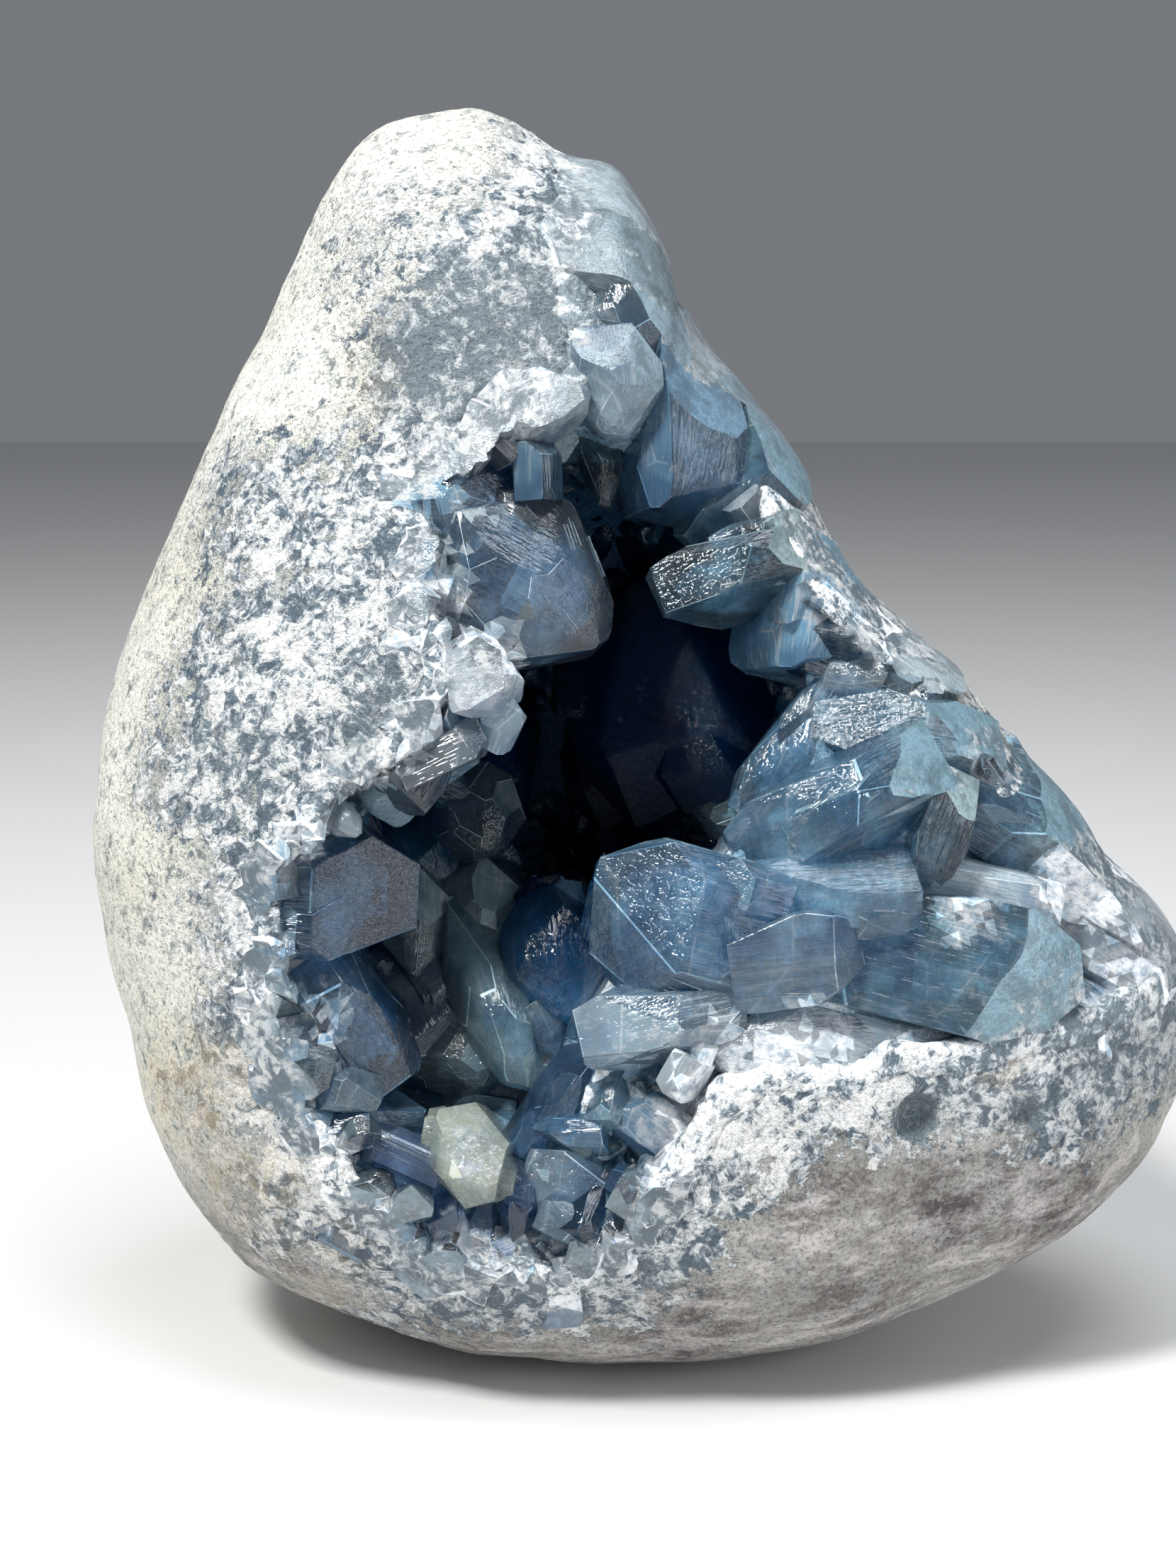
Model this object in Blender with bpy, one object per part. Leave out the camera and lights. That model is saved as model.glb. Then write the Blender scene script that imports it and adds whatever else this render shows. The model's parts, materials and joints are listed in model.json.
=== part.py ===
"""Celestite geode: a ground limestone pear, hollow at the front and lined with blue crystals.

Everything is laid out in millimetres on the geode's face, as an eye straight in front of it sees it:
x to the right, z up, y away from the eye, with y = 0 at the widest outline of the stone. The finished
solids are then leaned back, cut flat below and moved so that the middle of the flat spot is the origin.
"""
import math
import random

import bmesh
import bpy
from mathutils import Matrix, Vector, noise
from mathutils.bvhtree import BVHTree

MM = 0.001

# The stone
LEAN_BACK = 10.0          # degrees that the face looks up when the geode stands
FRONT_SWELL = 31.0        # widest outline to the foremost point
BACK_SWELL = 37.0         # widest outline to the hindmost point
ROUNDNESS = 2.3           # 2 is an ellipse, more is squarer
STONE_MIDDLE = (3.0, -10.0)
FLOOR_DROP = 55.3         # face middle down to the flat spot, along the leaned height
FLAT_SPOT_BEHIND = 0.5    # flat spot's middle, behind the face middle once leaned
FLAT_SPOT_RIGHT = 3.5
EYE_DISTANCE = 262.0      # from the widest outline to the eye that the face is laid out for
MEAN_RADIUS = 52.0        # radius that the rings near the two poles tend to
FRONT_ROUNDING = (0.7, 0.7)   # how much they do so at the pole, and how late on the way there
BACK_ROUNDING = (1.0, 0.5)
SEEN_WIDER = 1.015        # a round stone this near hides its widest ring behind a wider outline
STONE_SIDES = 54
STONE_RINGS = 9

# Widest outline of the stone as the eye sees it, clockwise from the summit
OUTLINE = [
    (-14, 68), (-8, 66.5), (-2, 63.5), (3, 61.5), (6.8, 54), (8.4, 49), (11, 44), (16, 38), (20.5, 30.5), (27, 20),
    (35, 13), (42.5, 4), (50, -5.5), (57, -13), (61, -22), (58, -32.5), (50, -42), (38, -50), (22, -55.5),
    (2, -57.5), (-18, -55.5), (-32, -50), (-41, -40), (-46.5, -26), (-49.5, -10), (-49.5, 2), (-46, 17),
    (-38, 34.5), (-30, 51), (-23, 65),
]

# Uneven grinding of the surface: height and spread of each kind of wave
WAVES = [(0.9, 21.0), (0.45, 8.0)]

# Slow swellings of the ground surface: x, z, reach, height, and which side (-1 front, 1 back, 0 both)
SWELLINGS = [
    (-9, 67, 8, 1.2, 0), (-30, 30, 16, 0.8, -1), (-42, -20, 14, -0.9, -1), (20, -48, 16, 1.0, -1),
    (44, -36, 13, 0.9, 0), (-14, 48, 12, 0.9, -1), (-20, -48, 12, -0.8, 0), (-8, 22, 20, 1.8, 1),
    (-25, -25, 18, 1.6, 1), (34, -20, 15, 1.4, 1),
]

# Edge of the hollow in the ground face. It runs past the outline where crystals reach the silhouette.
HOLLOW_MIDDLE = (5.0, -2.0)
HOLLOW_EDGE = [
    (-2.5, 65), (4.5, 64), (9, 55), (12.5, 46), (18, 38), (21.5, 32), (19.5, 29), (25, 20.5), (33, 13),
    (40, 4.5), (47, -4), (54, -7), (61, -14), (60, -21), (50, -26), (44, -26.5), (38, -29), (31, -28.5), (26, -31),
    (18, -30.5), (13, -34), (11, -39), (7.5, -41.5), (6.5, -46), (1, -49), (-3, -51.5), (-8, -49.5),
    (-13, -50.5), (-17, -49), (-21, -44), (-26, -42.5), (-27.5, -37), (-31.5, -33), (-32, -27), (-34.5, -24),
    (-33, -18), (-34.5, -12), (-32.5, -6), (-29, -3), (-26, 2), (-22.5, 2.5), (-18, 7), (-16, 12), (-19, 18),
    (-18, 24), (-20, 29), (-15, 33), (-12, 37.5), (-5, 38.5), (-1.5, 43), (-2.8, 49), (-1.8, 54), (-3, 60),
]
HOLLOW_RINGS = [(-60, 1.0), (-21, 0.99), (-9, 0.96), (1, 0.9), (9, 0.8), (16, 0.62), (21, 0.36)]
HOLLOW_BACK = 23.5
HOLLOW_SIDES = 60

# Open pocket that the lining leaves between its crystals
POCKET_MIDDLE = (-2.0, -5.0)
POCKET_EDGE = [
    (-5, 35), (4, 36), (9, 30), (15, 22), (21, 14), (23, 5), (16, -4), (7, -9), (1, -20), (-2, -31),
    (-6, -39), (-15, -41), (-23, -37), (-26, -28), (-25, -16), (-24, -4), (-19, 3), (-13, 9), (-11, 20),
    (-12, 30),
]
POCKET_RINGS = [(-60, 1.12), (-26, 1.0), (-14, 0.93), (-4, 0.84), (4, 0.7), (9, 0.5), (12.5, 0.25)]
POCKET_BACK = 14.0
POCKET_SIDES = 30

TOUCH_GAP = 0.3           # air between the stone and its lining
FACE_SINK = 5.0           # how far the lining's face lies below the stone's ground face
CRYSTAL_RISE = 0.8        # how far crystals stand proud of the ground face before they are ground off

# Small round pits in the rind: x, z, radius, depth
PITS = [(33, -33.5, 2.2, 1.4), (44, -33, 1.7, 0.8)]

# A crystal is a box trimmed by flat faces. Across is x, towards the eye is y, root to tip is z, each from
# -1 to 1. A face is its direction and how far out along it the face lies.
HABITS = {
    "chisel": [((0, 1, 1.0), 0.95), ((0, -1, 1.1), 1.0), ((1, 0, 0.9), 1.3), ((-1, 0, 0.7), 1.2),
               ((1, 1, 0), 1.5), ((-1, 1, 0), 1.6), ((1, -1, 0), 1.5), ((-1, -1, 0), 1.45)],
    "wedge": [((0.15, 1, 0.8), 0.95), ((0, -1, 1.3), 1.3), ((1, 0.1, 0.35), 1.05), ((-1, 0, 0.5), 1.2),
              ((1, 1, 0.1), 1.55), ((-1, 1, 0), 1.4)],
    "spear": [((1, 0.3, 0.8), 0.95), ((-1, 0.3, 0.9), 1.0), ((0.2, 1, 1.0), 1.0), ((-0.2, -1, 0.9), 0.95),
              ((1, 1, 0.1), 1.4), ((-1, 1, 0), 1.45), ((1, -1, 0), 1.4), ((-1, -1, 0.1), 1.35)],
    "block": [((0.2, 1, 0.2), 1.05), ((1, 0, 0.25), 1.1), ((-1, 0.1, 0.5), 1.25), ((0.3, 0.4, 1), 1.15),
              ((1, 1, 0), 1.6), ((-1, 1, 0.2), 1.55)],
    "hexagon": [((1, 0.58, 0), 1.0), ((-1, 0.58, 0), 1.05), ((1, -0.58, 0), 1.05), ((-1, -0.58, 0), 1.0),
                ((0.6, 0.2, 1), 1.25), ((-0.5, 0.6, 1), 1.35), ((0, -0.9, 1), 1.4)],
    "dome": [((1, 0, 0.5), 1.1), ((-1, 0, 0.6), 1.08), ((1, 0, 1.5), 1.6), ((-1, 0, 1.7), 1.7),
             ((0, 1, 1.0), 1.25), ((0, -1, 1.0), 1.2), ((1, 1, 0.3), 1.5), ((-1, 1, 0.4), 1.5),
             ((0.4, 0.8, 1.6), 1.65), ((-0.8, 0.9, 1.3), 1.7), ((1, -1, 0.3), 1.5), ((-1, -1, 0.3), 1.45)],
    "drop": [((1, 0.2, 0.25), 0.92), ((-1, 0.2, 0.25), 0.95), ((1, 0, 0.9), 1.15), ((-1, 0, 0.8), 1.15),
             ((0, 1, 0.7), 1.2), ((0, -1, 0.7), 1.2), ((1, 1, 0.4), 1.35), ((-1, 1, 0.4), 1.35), ((1, -1, 0.3), 1.35),
             ((-1, -1, 0.3), 1.35), ((0.5, 0.6, 2), 2.1), ((-0.6, 0.4, 2), 2.15)],
    "hexagon_end": [((1, 0.58, 0.1), 1.0), ((-1, 0.58, 0.1), 1.0), ((1, -0.58, 0.1), 1.0),
                    ((-1, -0.58, 0.1), 1.0), ((0.35, 0.1, 1), 1.1), ((-0.2, -0.7, 1), 1.3)],
    "tablet": [((0.1, 1, 0.05), 1.0), ((1, 0, 0.8), 1.4), ((-1, 0, 0.9), 1.3), ((0, 0.7, 1), 1.25),
               ((1, 0.2, -0.4), 1.15), ((0.2, 0, 1), 1.0)],
}

# Crystals seen in the face. Each has a habit, then the middle of the crystal (x, y, z), its length,
# width and thickness, the way its tip points in the face (0 right, 90 up), how far the tip leans towards
# the eye, and its turn about its own length.
CRYSTALS = {
    # summit and brow
    "summit_edge": ("block", 2.0, -8, 58.5, 14, 8, 12, -62, 10, 0),
    "brow_cap": ("dome", 3.2, -14, 51.8, 15, 9.5, 13, -28, 15, 10),
    "brow_below": ("block", 2.4, -16, 45.2, 10, 7.5, 10, -70, 15, 20),
    "brow_blue": ("tablet", 2.6, -19, 39.3, 11, 9.5, 9, -96, 20, 0),
    "rim_top": ("block", 7.6, -12, 43.0, 14, 6.5, 12, -57, 0, 15),
    "ground_edge": ("wedge", 13.5, -8, 38.5, 18, 8, 14, -52, 0, 20),
    "brow_lip": ("wedge", -6.2, -22, 37.2, 9, 10, 8, -92, 25, 0),
    "brow_shadow": ("chisel", -7.5, -19, 33.5, 14, 5.5, 8, 8, 10, 20),
    # upper right wall
    "lilac_wall": ("block", 9.0, -15, 33.6, 15, 8.5, 12, -95, 5, -15),
    "streaked_wall": ("wedge", 16.0, -13, 29.5, 17, 10, 12, 236, 12, -25),
    "green_ledge": ("wedge", 14.5, -19, 21.0, 17, 6.5, 10, 196, 20, 20),
    "pitted_wall": ("block", 22.0, -14, 17.8, 14, 10, 12, -100, 5, -20),
    "white_edge": ("tablet", 27.5, -9, 17.8, 15, 5, 10, -47, 5, 15),
    "pale_dome": ("dome", 29.8, -15, 10.8, 17, 9, 11, 184, 15, 0),
    "cracked_blue": ("chisel", 31.5, -18, 4.6, 20, 7.5, 10, 170, 12, 15),
    "shaded_wall": ("chisel", 20.5, -16, 1.8, 17, 8, 10, 232, 20, 0),
    # right lobe
    "teal_shoulder": ("wedge", 25.0, -21.5, -2.8, 22, 10, 12, 209, 8, 25),
    "teal_foot": ("wedge", 23.0, -22.5, -10.5, 18, 8, 11, 184, 8, -15),
    "pale_slab": ("tablet", 34.8, -21.5, -4.6, 12, 5.5, 7, -112, 5, -10),
    "right_slope": ("wedge", 44.0, -14.5, -5.2, 22, 9.5, 13, -32, 5, 30),
    "hollow_rim": ("block", 40.5, -18, -10.5, 14, 5, 8, -14, 5, 10),
    "far_right": ("block", 52.0, -8, -15.0, 18, 11, 16, -38, 5, 10),
    "wide_blue": ("tablet", 37.0, -19.5, -18.5, 25, 11.5, 12, -14, 4, -8),
    "keystone": ("chisel", 8.6, -22.5, -14.0, 19, 16, 12, 164, 10, 0),
    "window": ("tablet", 20.8, -24, -17.0, 13, 9, 9, 8, 4, 5),
    "narrow": ("block", 14.2, -24, -15.5, 10, 6, 8, -78, 12, 25),
    "fan": ("wedge", 6.8, -24, -23.8, 16, 8, 9, 192, 12, 15),
    "frosted": ("dome", 20.3, -23, -25.2, 15, 8.5, 9, 184, 12, 0),
    "lower_blue": ("wedge", 33.0, -20.5, -26.0, 15, 6.5, 9, -14, 5, 0),
    "right_foot": ("block", 46.5, -16, -22.0, 14, 6, 9, -24, 5, 15),
    # deep in the pocket
    "navy_face": ("hexagon", 9.5, 5, 7.0, 22, 25, 22, 150, 72, 20),
    "navy_side": ("chisel", 1.5, 5, 12.0, 20, 9, 9, 250, 50, 10),
    "green_root": ("dome", -11.5, -2, -13.0, 18, 11, 9, -80, 55, 0),
    "green_drop": ("drop", -10.0, -8, -20.5, 25, 8.5, 9, -66, 38, 0),
    "blue_ring": ("drop", -3.3, -9, -18.0, 21, 9, 9, -92, 42, 0),
    "small_blue": ("spear", 2.0, -14, -11.0, 9, 4, 4, 78, 15, 0),
    "deep_tip": ("chisel", -9.5, 1, 0.5, 18, 7, 7, -98, 48, 20),
    "deep_fan": ("wedge", -13.0, -6, -30.0, 18, 7, 9, -8, 25, 10),
    "deep_left": ("block", -17.5, 2, -5.5, 14, 8, 8, -60, 40, 0),
    # left rim
    "left_block": ("chisel", -26.0, -20, -10.4, 19, 11.5, 11, -3, 6, 0),
    "left_lower": ("wedge", -25.0, -19, -23.5, 18, 11, 10, -52, 12, 0),
    "left_tip": ("dome", -26.0, -23, -29.0, 7, 3.5, 5, -85, 15, 0),
    "left_bud": ("spear", -31.0, -21, -27.5, 7, 3.5, 5, -75, 15, 0),
    "left_ledge": ("wedge", -19.5, -18, 2.6, 17, 6, 9, 3, 8, 30),
    # upper left rim
    "glass_dome": ("dome", -7.2, -20, 18.8, 20, 17, 12, -22, 12, 0),
    "hexagon_tip": ("hexagon", -11.4, -22, 10.6, 13, 8, 8, -56, 35, 0),
    "upper_pair": ("chisel", -12.8, -22, 28.5, 14, 7.5, 9, -4, 12, 20),
    "upper_bud": ("spear", -6.4, -23, 26.0, 8, 4.5, 5, -30, 25, 0),
    "low_bud": ("dome", -12.2, -24, 20.2, 7, 4.5, 6, -82, 20, 0),
    # lower rim
    "lower_left": ("wedge", -23.2, -18, -34.3, 14, 6.5, 9, -4, 12, 15),
    "lower_left_blue": ("block", -20.8, -18, -40.2, 12, 9.5, 9, 62, 20, 0),
    "pale_hexagon": ("hexagon_end", -11.8, -18.5, -37.3, 16, 9.5, 9.5, 96, 78, 8),
    "lilac": ("block", -15.0, -19, -44.2, 9, 4.5, 8, 95, 25, 20),
    "lilac_small": ("spear", -10.6, -20, -44.2, 8, 4.5, 7, 80, 25, 0),
    "lens": ("dome", -6.6, -21, -42.0, 9, 4.5, 6, 100, 20, 0),
    "blue_glass": ("wedge", 0.2, -20, -42.0, 15, 9, 10, 158, 15, 10),
    "dark_spear": ("spear", -1.2, -18, -31.6, 15, 8, 8, 58, 20, 20),
    "between": ("wedge", 4.8, -21, -33.0, 11, 5.5, 8, 128, 15, 10),
    "foot": ("block", -3.0, -18, -48.4, 9, 5, 9, 90, 30, 10),
}

# Smaller crystals on the pocket's wall
WALL_CRYSTALS = 24
WALL_DEPTH = (-14.0, 11.0)
WALL_LENGTH = (8.0, 13.0)
WALL_WIDTH = (4.0, 7.0)
WALL_SLIMNESS = (0.7, 1.0)   # thickness as a share of the width
WALL_SWING = 35.0            # degrees either side of straight inwards
WALL_LEAN = (-5.0, 30.0)     # towards the eye at the mouth
WALL_DEEP_LEAN = 45.0        # added at the pocket's back
WALL_SEED = 11


def clear_scene():
    for thing in list(bpy.data.objects):
        bpy.data.objects.remove(thing)


def make_material(name, colour, roughness):
    material = bpy.data.materials.new(name)
    material.use_nodes = True
    shader = material.node_tree.nodes["Principled BSDF"]
    shader.inputs["Base Color"].default_value = (*colour, 1.0)
    shader.inputs["Roughness"].default_value = roughness
    shader.inputs["Metallic"].default_value = 0.0
    material.diffuse_color = (*colour, 1.0)
    return material


def smooth_loop(points, count):
    """Evenly stepped points on a smooth closed curve through the given ones."""
    fine = []
    steps = 24
    for i in range(len(points)):
        p0, p1, p2, p3 = (Vector(points[(i + k) % len(points)]) for k in (-1, 0, 1, 2))
        for step in range(steps):
            t = step / steps
            fine.append(0.5 * (2 * p1 + (p2 - p0) * t + (2 * p0 - 5 * p1 + 4 * p2 - p3) * t ** 2
                               + (3 * p1 - p0 - 3 * p2 + p3) * t ** 3))
    lengths = [(fine[(i + 1) % len(fine)] - p).length for i, p in enumerate(fine)]
    spacing = sum(lengths) / count
    loop, walked, wanted = [], 0.0, 0.0
    for i, p in enumerate(fine):
        while wanted < walked + lengths[i] and len(loop) < count:
            loop.append(p.lerp(fine[(i + 1) % len(fine)], (wanted - walked) / lengths[i]))
            wanted += spacing
        walked += lengths[i]
    return loop


def sighted(x, y, z):
    """Real place of what the eye sees at x, z when it lies y behind the widest outline."""
    spread = 1 + y / EYE_DISTANCE
    return Vector((x * spread, y, z * spread))


def ring_solid(name, rings, front_pole, back_pole, shrink=0.0):
    """Closed solid from rings of points that run from front to back to a pole, drawn in by a shrink."""
    shape = bmesh.new()
    loops = [[shape.verts.new(p) for p in ring] for ring in rings]
    count = len(loops[0])
    for near, far in zip(loops, loops[1:]):
        for i in range(count):
            j = (i + 1) % count
            shape.faces.new((near[i], near[j], far[j]))
            shape.faces.new((near[i], far[j], far[i]))
    for loop, pole in ((loops[0], front_pole), (loops[-1], back_pole)):
        tip = shape.verts.new(pole)
        for i in range(count):
            shape.faces.new((loop[i], loop[(i + 1) % count], tip))
    bmesh.ops.recalc_face_normals(shape, faces=shape.faces)
    shape.normal_update()
    moved = [v.co - v.normal * shrink for v in shape.verts]
    for v, place in zip(shape.verts, moved):
        v.co = place
    return new_object(name, shape)


def new_object(name, shape):
    mesh = bpy.data.meshes.new(name)
    shape.to_mesh(mesh)
    shape.free()
    thing = bpy.data.objects.new(name, mesh)
    bpy.context.scene.collection.objects.link(thing)
    return thing


def stone_rings():
    """Rings of the swollen stone, from the front pole to the back one."""
    outline = smooth_loop(OUTLINE, STONE_SIDES)
    middle = Vector(STONE_MIDDLE)
    rings = []
    for step in range(-STONE_RINGS, STONE_RINGS + 1):
        angle = math.radians(90 * step / (STONE_RINGS + 0.5))
        reach = math.cos(angle) ** (2 / ROUNDNESS)
        swell, (most, late) = (FRONT_SWELL, FRONT_ROUNDING) if step < 0 else (BACK_SWELL, BACK_ROUNDING)
        depth = math.copysign(abs(math.sin(angle)) ** (2 / ROUNDNESS), step) * swell
        rounding = most * (1 - reach) ** late
        ring = []
        for p in outline:
            out = p - middle
            radius = out.length / SEEN_WIDER * (1 - rounding) + MEAN_RADIUS * rounding
            flat = middle + out.normalized() * radius * reach
            ring.append(roughened(Vector((flat.x, depth, flat.y)), middle))
        rings.append(ring)
    return rings


def roughened(p, middle):
    """A point of the stone moved by the slow swellings and the uneven grinding."""
    out = (p - Vector((middle.x, 0, middle.y))).normalized()
    lift = sum(height * noise.noise(p / spread + Vector((9, 2, 5)) * i) for i, (height, spread) in enumerate(WAVES))
    for x, z, reach, height, side in SWELLINGS:
        if side * p.y < 0:
            continue
        away = math.hypot(p.x - x, p.z - z) / reach
        if away < 1:
            lift += height * (1 - away ** 2) ** 2
    return p + out * lift


def stone_solid(name, shrink=0.0):
    """The whole stone as a closed solid, drawn in all round by a shrink in millimetres."""
    middle = Vector(STONE_MIDDLE)
    front = roughened(Vector((middle.x, -FRONT_SWELL, middle.y)), middle)
    back = roughened(Vector((middle.x, BACK_SWELL, middle.y)), middle)
    return ring_solid(name, stone_rings(), front, back, shrink)


def bowl_solid(name, edge, middle, levels, back, sides, shrink=0.0):
    """Bowl that opens towards the eye: its edge curve drawn in at each level of depth."""
    loop = smooth_loop(edge, sides)
    centre = Vector(middle)
    rings = []
    for depth, reach in levels:
        ring = []
        for p in loop:
            flat = centre + (p - centre) * reach
            ring.append(sighted(flat.x, depth, flat.y))
        rings.append(ring)
    mouth, bottom = sighted(centre.x, levels[0][0] - 1, centre.y), sighted(centre.x, back, centre.y)
    return ring_solid(name, rings, mouth, bottom, shrink)


def hollow_solid(name, shrink=0.0):
    return bowl_solid(name, HOLLOW_EDGE, HOLLOW_MIDDLE, HOLLOW_RINGS, HOLLOW_BACK, HOLLOW_SIDES, shrink)


def trimmed_box(faces):
    """Unit crystal: a box of half-size 1 with each face in turn cut across it."""
    shape = bmesh.new()
    bmesh.ops.create_cube(shape, size=2.0)
    for direction, out in faces:
        normal = Vector(direction)
        geometry = shape.verts[:] + shape.edges[:] + shape.faces[:]
        cut = bmesh.ops.bisect_plane(shape, geom=geometry, plane_co=normal * (out / normal.length_squared),
                                     plane_no=normal, clear_outer=True)
        rim = [piece for piece in cut["geom_cut"] if isinstance(piece, bmesh.types.BMEdge)]
        if rim:
            bmesh.ops.edgenet_fill(shape, edges=rim)
    bmesh.ops.remove_doubles(shape, verts=shape.verts, dist=1e-4)
    bmesh.ops.recalc_face_normals(shape, faces=shape.faces)
    return shape


def crystal_frame(place, size, heading, lean, roll):
    """Matrix that sets a unit crystal at its place, with its tip pointing by heading and lean."""
    length, width, thickness = size
    turn, tilt = math.radians(heading), math.radians(lean)
    in_face = Vector((math.cos(turn), 0, math.sin(turn)))
    to_eye = Vector((0, -1, 0))
    along = in_face * math.cos(tilt) + to_eye * math.sin(tilt)
    across = Matrix.Rotation(math.radians(roll), 3, along) @ Vector((-math.sin(turn), 0, math.cos(turn)))
    through = along.cross(across)
    frame = Matrix((across * width / 2, through * thickness / 2, along * length / 2)).transposed()
    return Matrix.Translation(place) @ frame.to_4x4()


def crystal_solid(name, habit, frame):
    shape = trimmed_box(HABITS[habit])
    bmesh.ops.transform(shape, matrix=frame, verts=shape.verts)
    return new_object(name, shape)


def face_crystals():
    crystals = []
    for name, (habit, x, y, z, length, width, thickness, heading, lean, roll) in CRYSTALS.items():
        spread = 1 + y / EYE_DISTANCE
        size = (length * spread, width * spread, thickness)
        crystals.append(crystal_solid(name, habit, crystal_frame(sighted(x, y, z), size, heading, lean, roll)))
    return crystals


def wall_crystals():
    """Seeded small crystals that stand on the pocket's wall and point into it."""
    draw = random.Random(WALL_SEED)
    loop = smooth_loop(POCKET_EDGE, 120)
    centre = Vector(POCKET_MIDDLE)
    habits = ["chisel", "wedge", "spear", "block", "dome"]
    crystals = []
    for i in range(WALL_CRYSTALS):
        edge = loop[draw.randrange(len(loop))]
        depth = draw.uniform(*WALL_DEPTH)
        reach = bowl_reach(POCKET_RINGS, depth)
        flat = centre + (edge - centre) * reach
        place = sighted(flat.x, depth, flat.y)
        inward = centre - flat
        heading = math.degrees(math.atan2(inward.y, inward.x)) + draw.uniform(-WALL_SWING, WALL_SWING)
        lean = draw.uniform(*WALL_LEAN) + WALL_DEEP_LEAN * max(0.0, depth / POCKET_BACK)
        length = draw.uniform(*WALL_LENGTH)
        width = draw.uniform(*WALL_WIDTH)
        size = (length, width, width * draw.uniform(*WALL_SLIMNESS))
        frame = crystal_frame(place, size, heading, lean, draw.uniform(0, 90))
        crystals.append(crystal_solid(f"wall_crystal_{i}", draw.choice(habits), frame))
    return crystals


def bowl_reach(levels, depth):
    """How far out a bowl's edge curve reaches at a depth between two of its levels."""
    for (near, near_reach), (far, far_reach) in zip(levels, levels[1:]):
        if near <= depth <= far:
            return near_reach + (far_reach - near_reach) * (depth - near) / (far - near)
    return levels[-1][1]


def combine(target, operation, cutter=None, group=None, solver="EXACT"):
    """Boolean on the target, applied at once, after which the cutters are taken away."""
    step = target.modifiers.new(operation, "BOOLEAN")
    step.operation = operation
    step.solver = solver
    if group:
        step.operand_type = "COLLECTION"
        step.collection = group
    else:
        step.object = cutter
    bpy.context.view_layer.update()
    result = target.evaluated_get(bpy.context.evaluated_depsgraph_get())
    mesh = bpy.data.meshes.new_from_object(result)
    target.modifiers.clear()
    target.data = mesh
    for thing in list(group.objects) if group else [cutter]:
        bpy.data.objects.remove(thing)


def largest_piece(thing):
    """Keep the outer skin only: no closed bubble and no loose chip."""
    shape = bmesh.new()
    shape.from_mesh(thing.data)
    bmesh.ops.remove_doubles(shape, verts=shape.verts, dist=1e-3)
    unseen = set(shape.faces)
    pieces = []
    while unseen:
        stack = [unseen.pop()]
        piece = set(stack)
        while stack:
            for edge in stack.pop().edges:
                if len(edge.link_faces) != 2:
                    continue
                for face in edge.link_faces:
                    if face in unseen:
                        unseen.discard(face)
                        piece.add(face)
                        stack.append(face)
        pieces.append(piece)
    pieces.sort(key=len)
    for piece in pieces[:-1]:
        bmesh.ops.delete(shape, geom=list(piece), context="FACES")
    shape.to_mesh(thing.data)
    shape.free()


def stand_up(thing):
    """Lean the finished solid back and set the flat spot's middle on the origin."""
    lean = Matrix.Rotation(-math.radians(LEAN_BACK), 4, "X")
    shift = Matrix.Translation((-FLAT_SPOT_RIGHT, -FLAT_SPOT_BEHIND, FLOOR_DROP))
    thing.data.transform(Matrix.Scale(MM, 4) @ shift @ lean)


def cut_floor(thing):
    """Cut the leaned solid flat at the height of the flat spot."""
    shape = bmesh.new()
    shape.from_mesh(thing.data)
    geometry = shape.verts[:] + shape.edges[:] + shape.faces[:]
    cut = bmesh.ops.bisect_plane(shape, geom=geometry, plane_co=(0, 0, 0), plane_no=(0, 0, -1), clear_outer=True)
    rim = [piece for piece in cut["geom_cut"] if isinstance(piece, bmesh.types.BMEdge)]
    bmesh.ops.edgenet_fill(shape, edges=rim)
    bmesh.ops.recalc_face_normals(shape, faces=shape.faces)
    shape.to_mesh(thing.data)
    shape.free()


def pit_solid(stone, x, z, radius, depth):
    """Blunt eight-faced cutter that leaves a pit of the given depth in the ground face."""
    surface = BVHTree.FromPolygons([v.co for v in stone.data.vertices], [p.vertices for p in stone.data.polygons])
    eye = Vector((0, -EYE_DISTANCE, 0))
    place, normal, _, _ = surface.ray_cast(eye, Vector((x, EYE_DISTANCE, z)).normalized())
    shape = bmesh.new()
    bmesh.ops.create_icosphere(shape, subdivisions=1, radius=1.0)
    turn = normal.to_track_quat("Z", "Y").to_matrix().to_4x4()
    stretch = Matrix.Diagonal((radius, radius, depth * 2, 1))
    sunk = Matrix.Translation(place + normal * depth)
    bmesh.ops.transform(shape, matrix=sunk @ turn @ stretch, verts=shape.verts)
    return new_object("pit", shape)


def build_shell(material):
    """The stone with its hollow and pits."""
    shell = stone_solid("stone_shell")
    pits = [pit_solid(shell, *pit) for pit in PITS]
    combine(shell, "DIFFERENCE", hollow_solid("hollow"))
    for pit in pits:
        combine(shell, "DIFFERENCE", pit)
    largest_piece(shell)
    stand_up(shell)
    cut_floor(shell)
    shell.data.materials.clear()
    shell.data.materials.append(material)
    return shell


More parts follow.
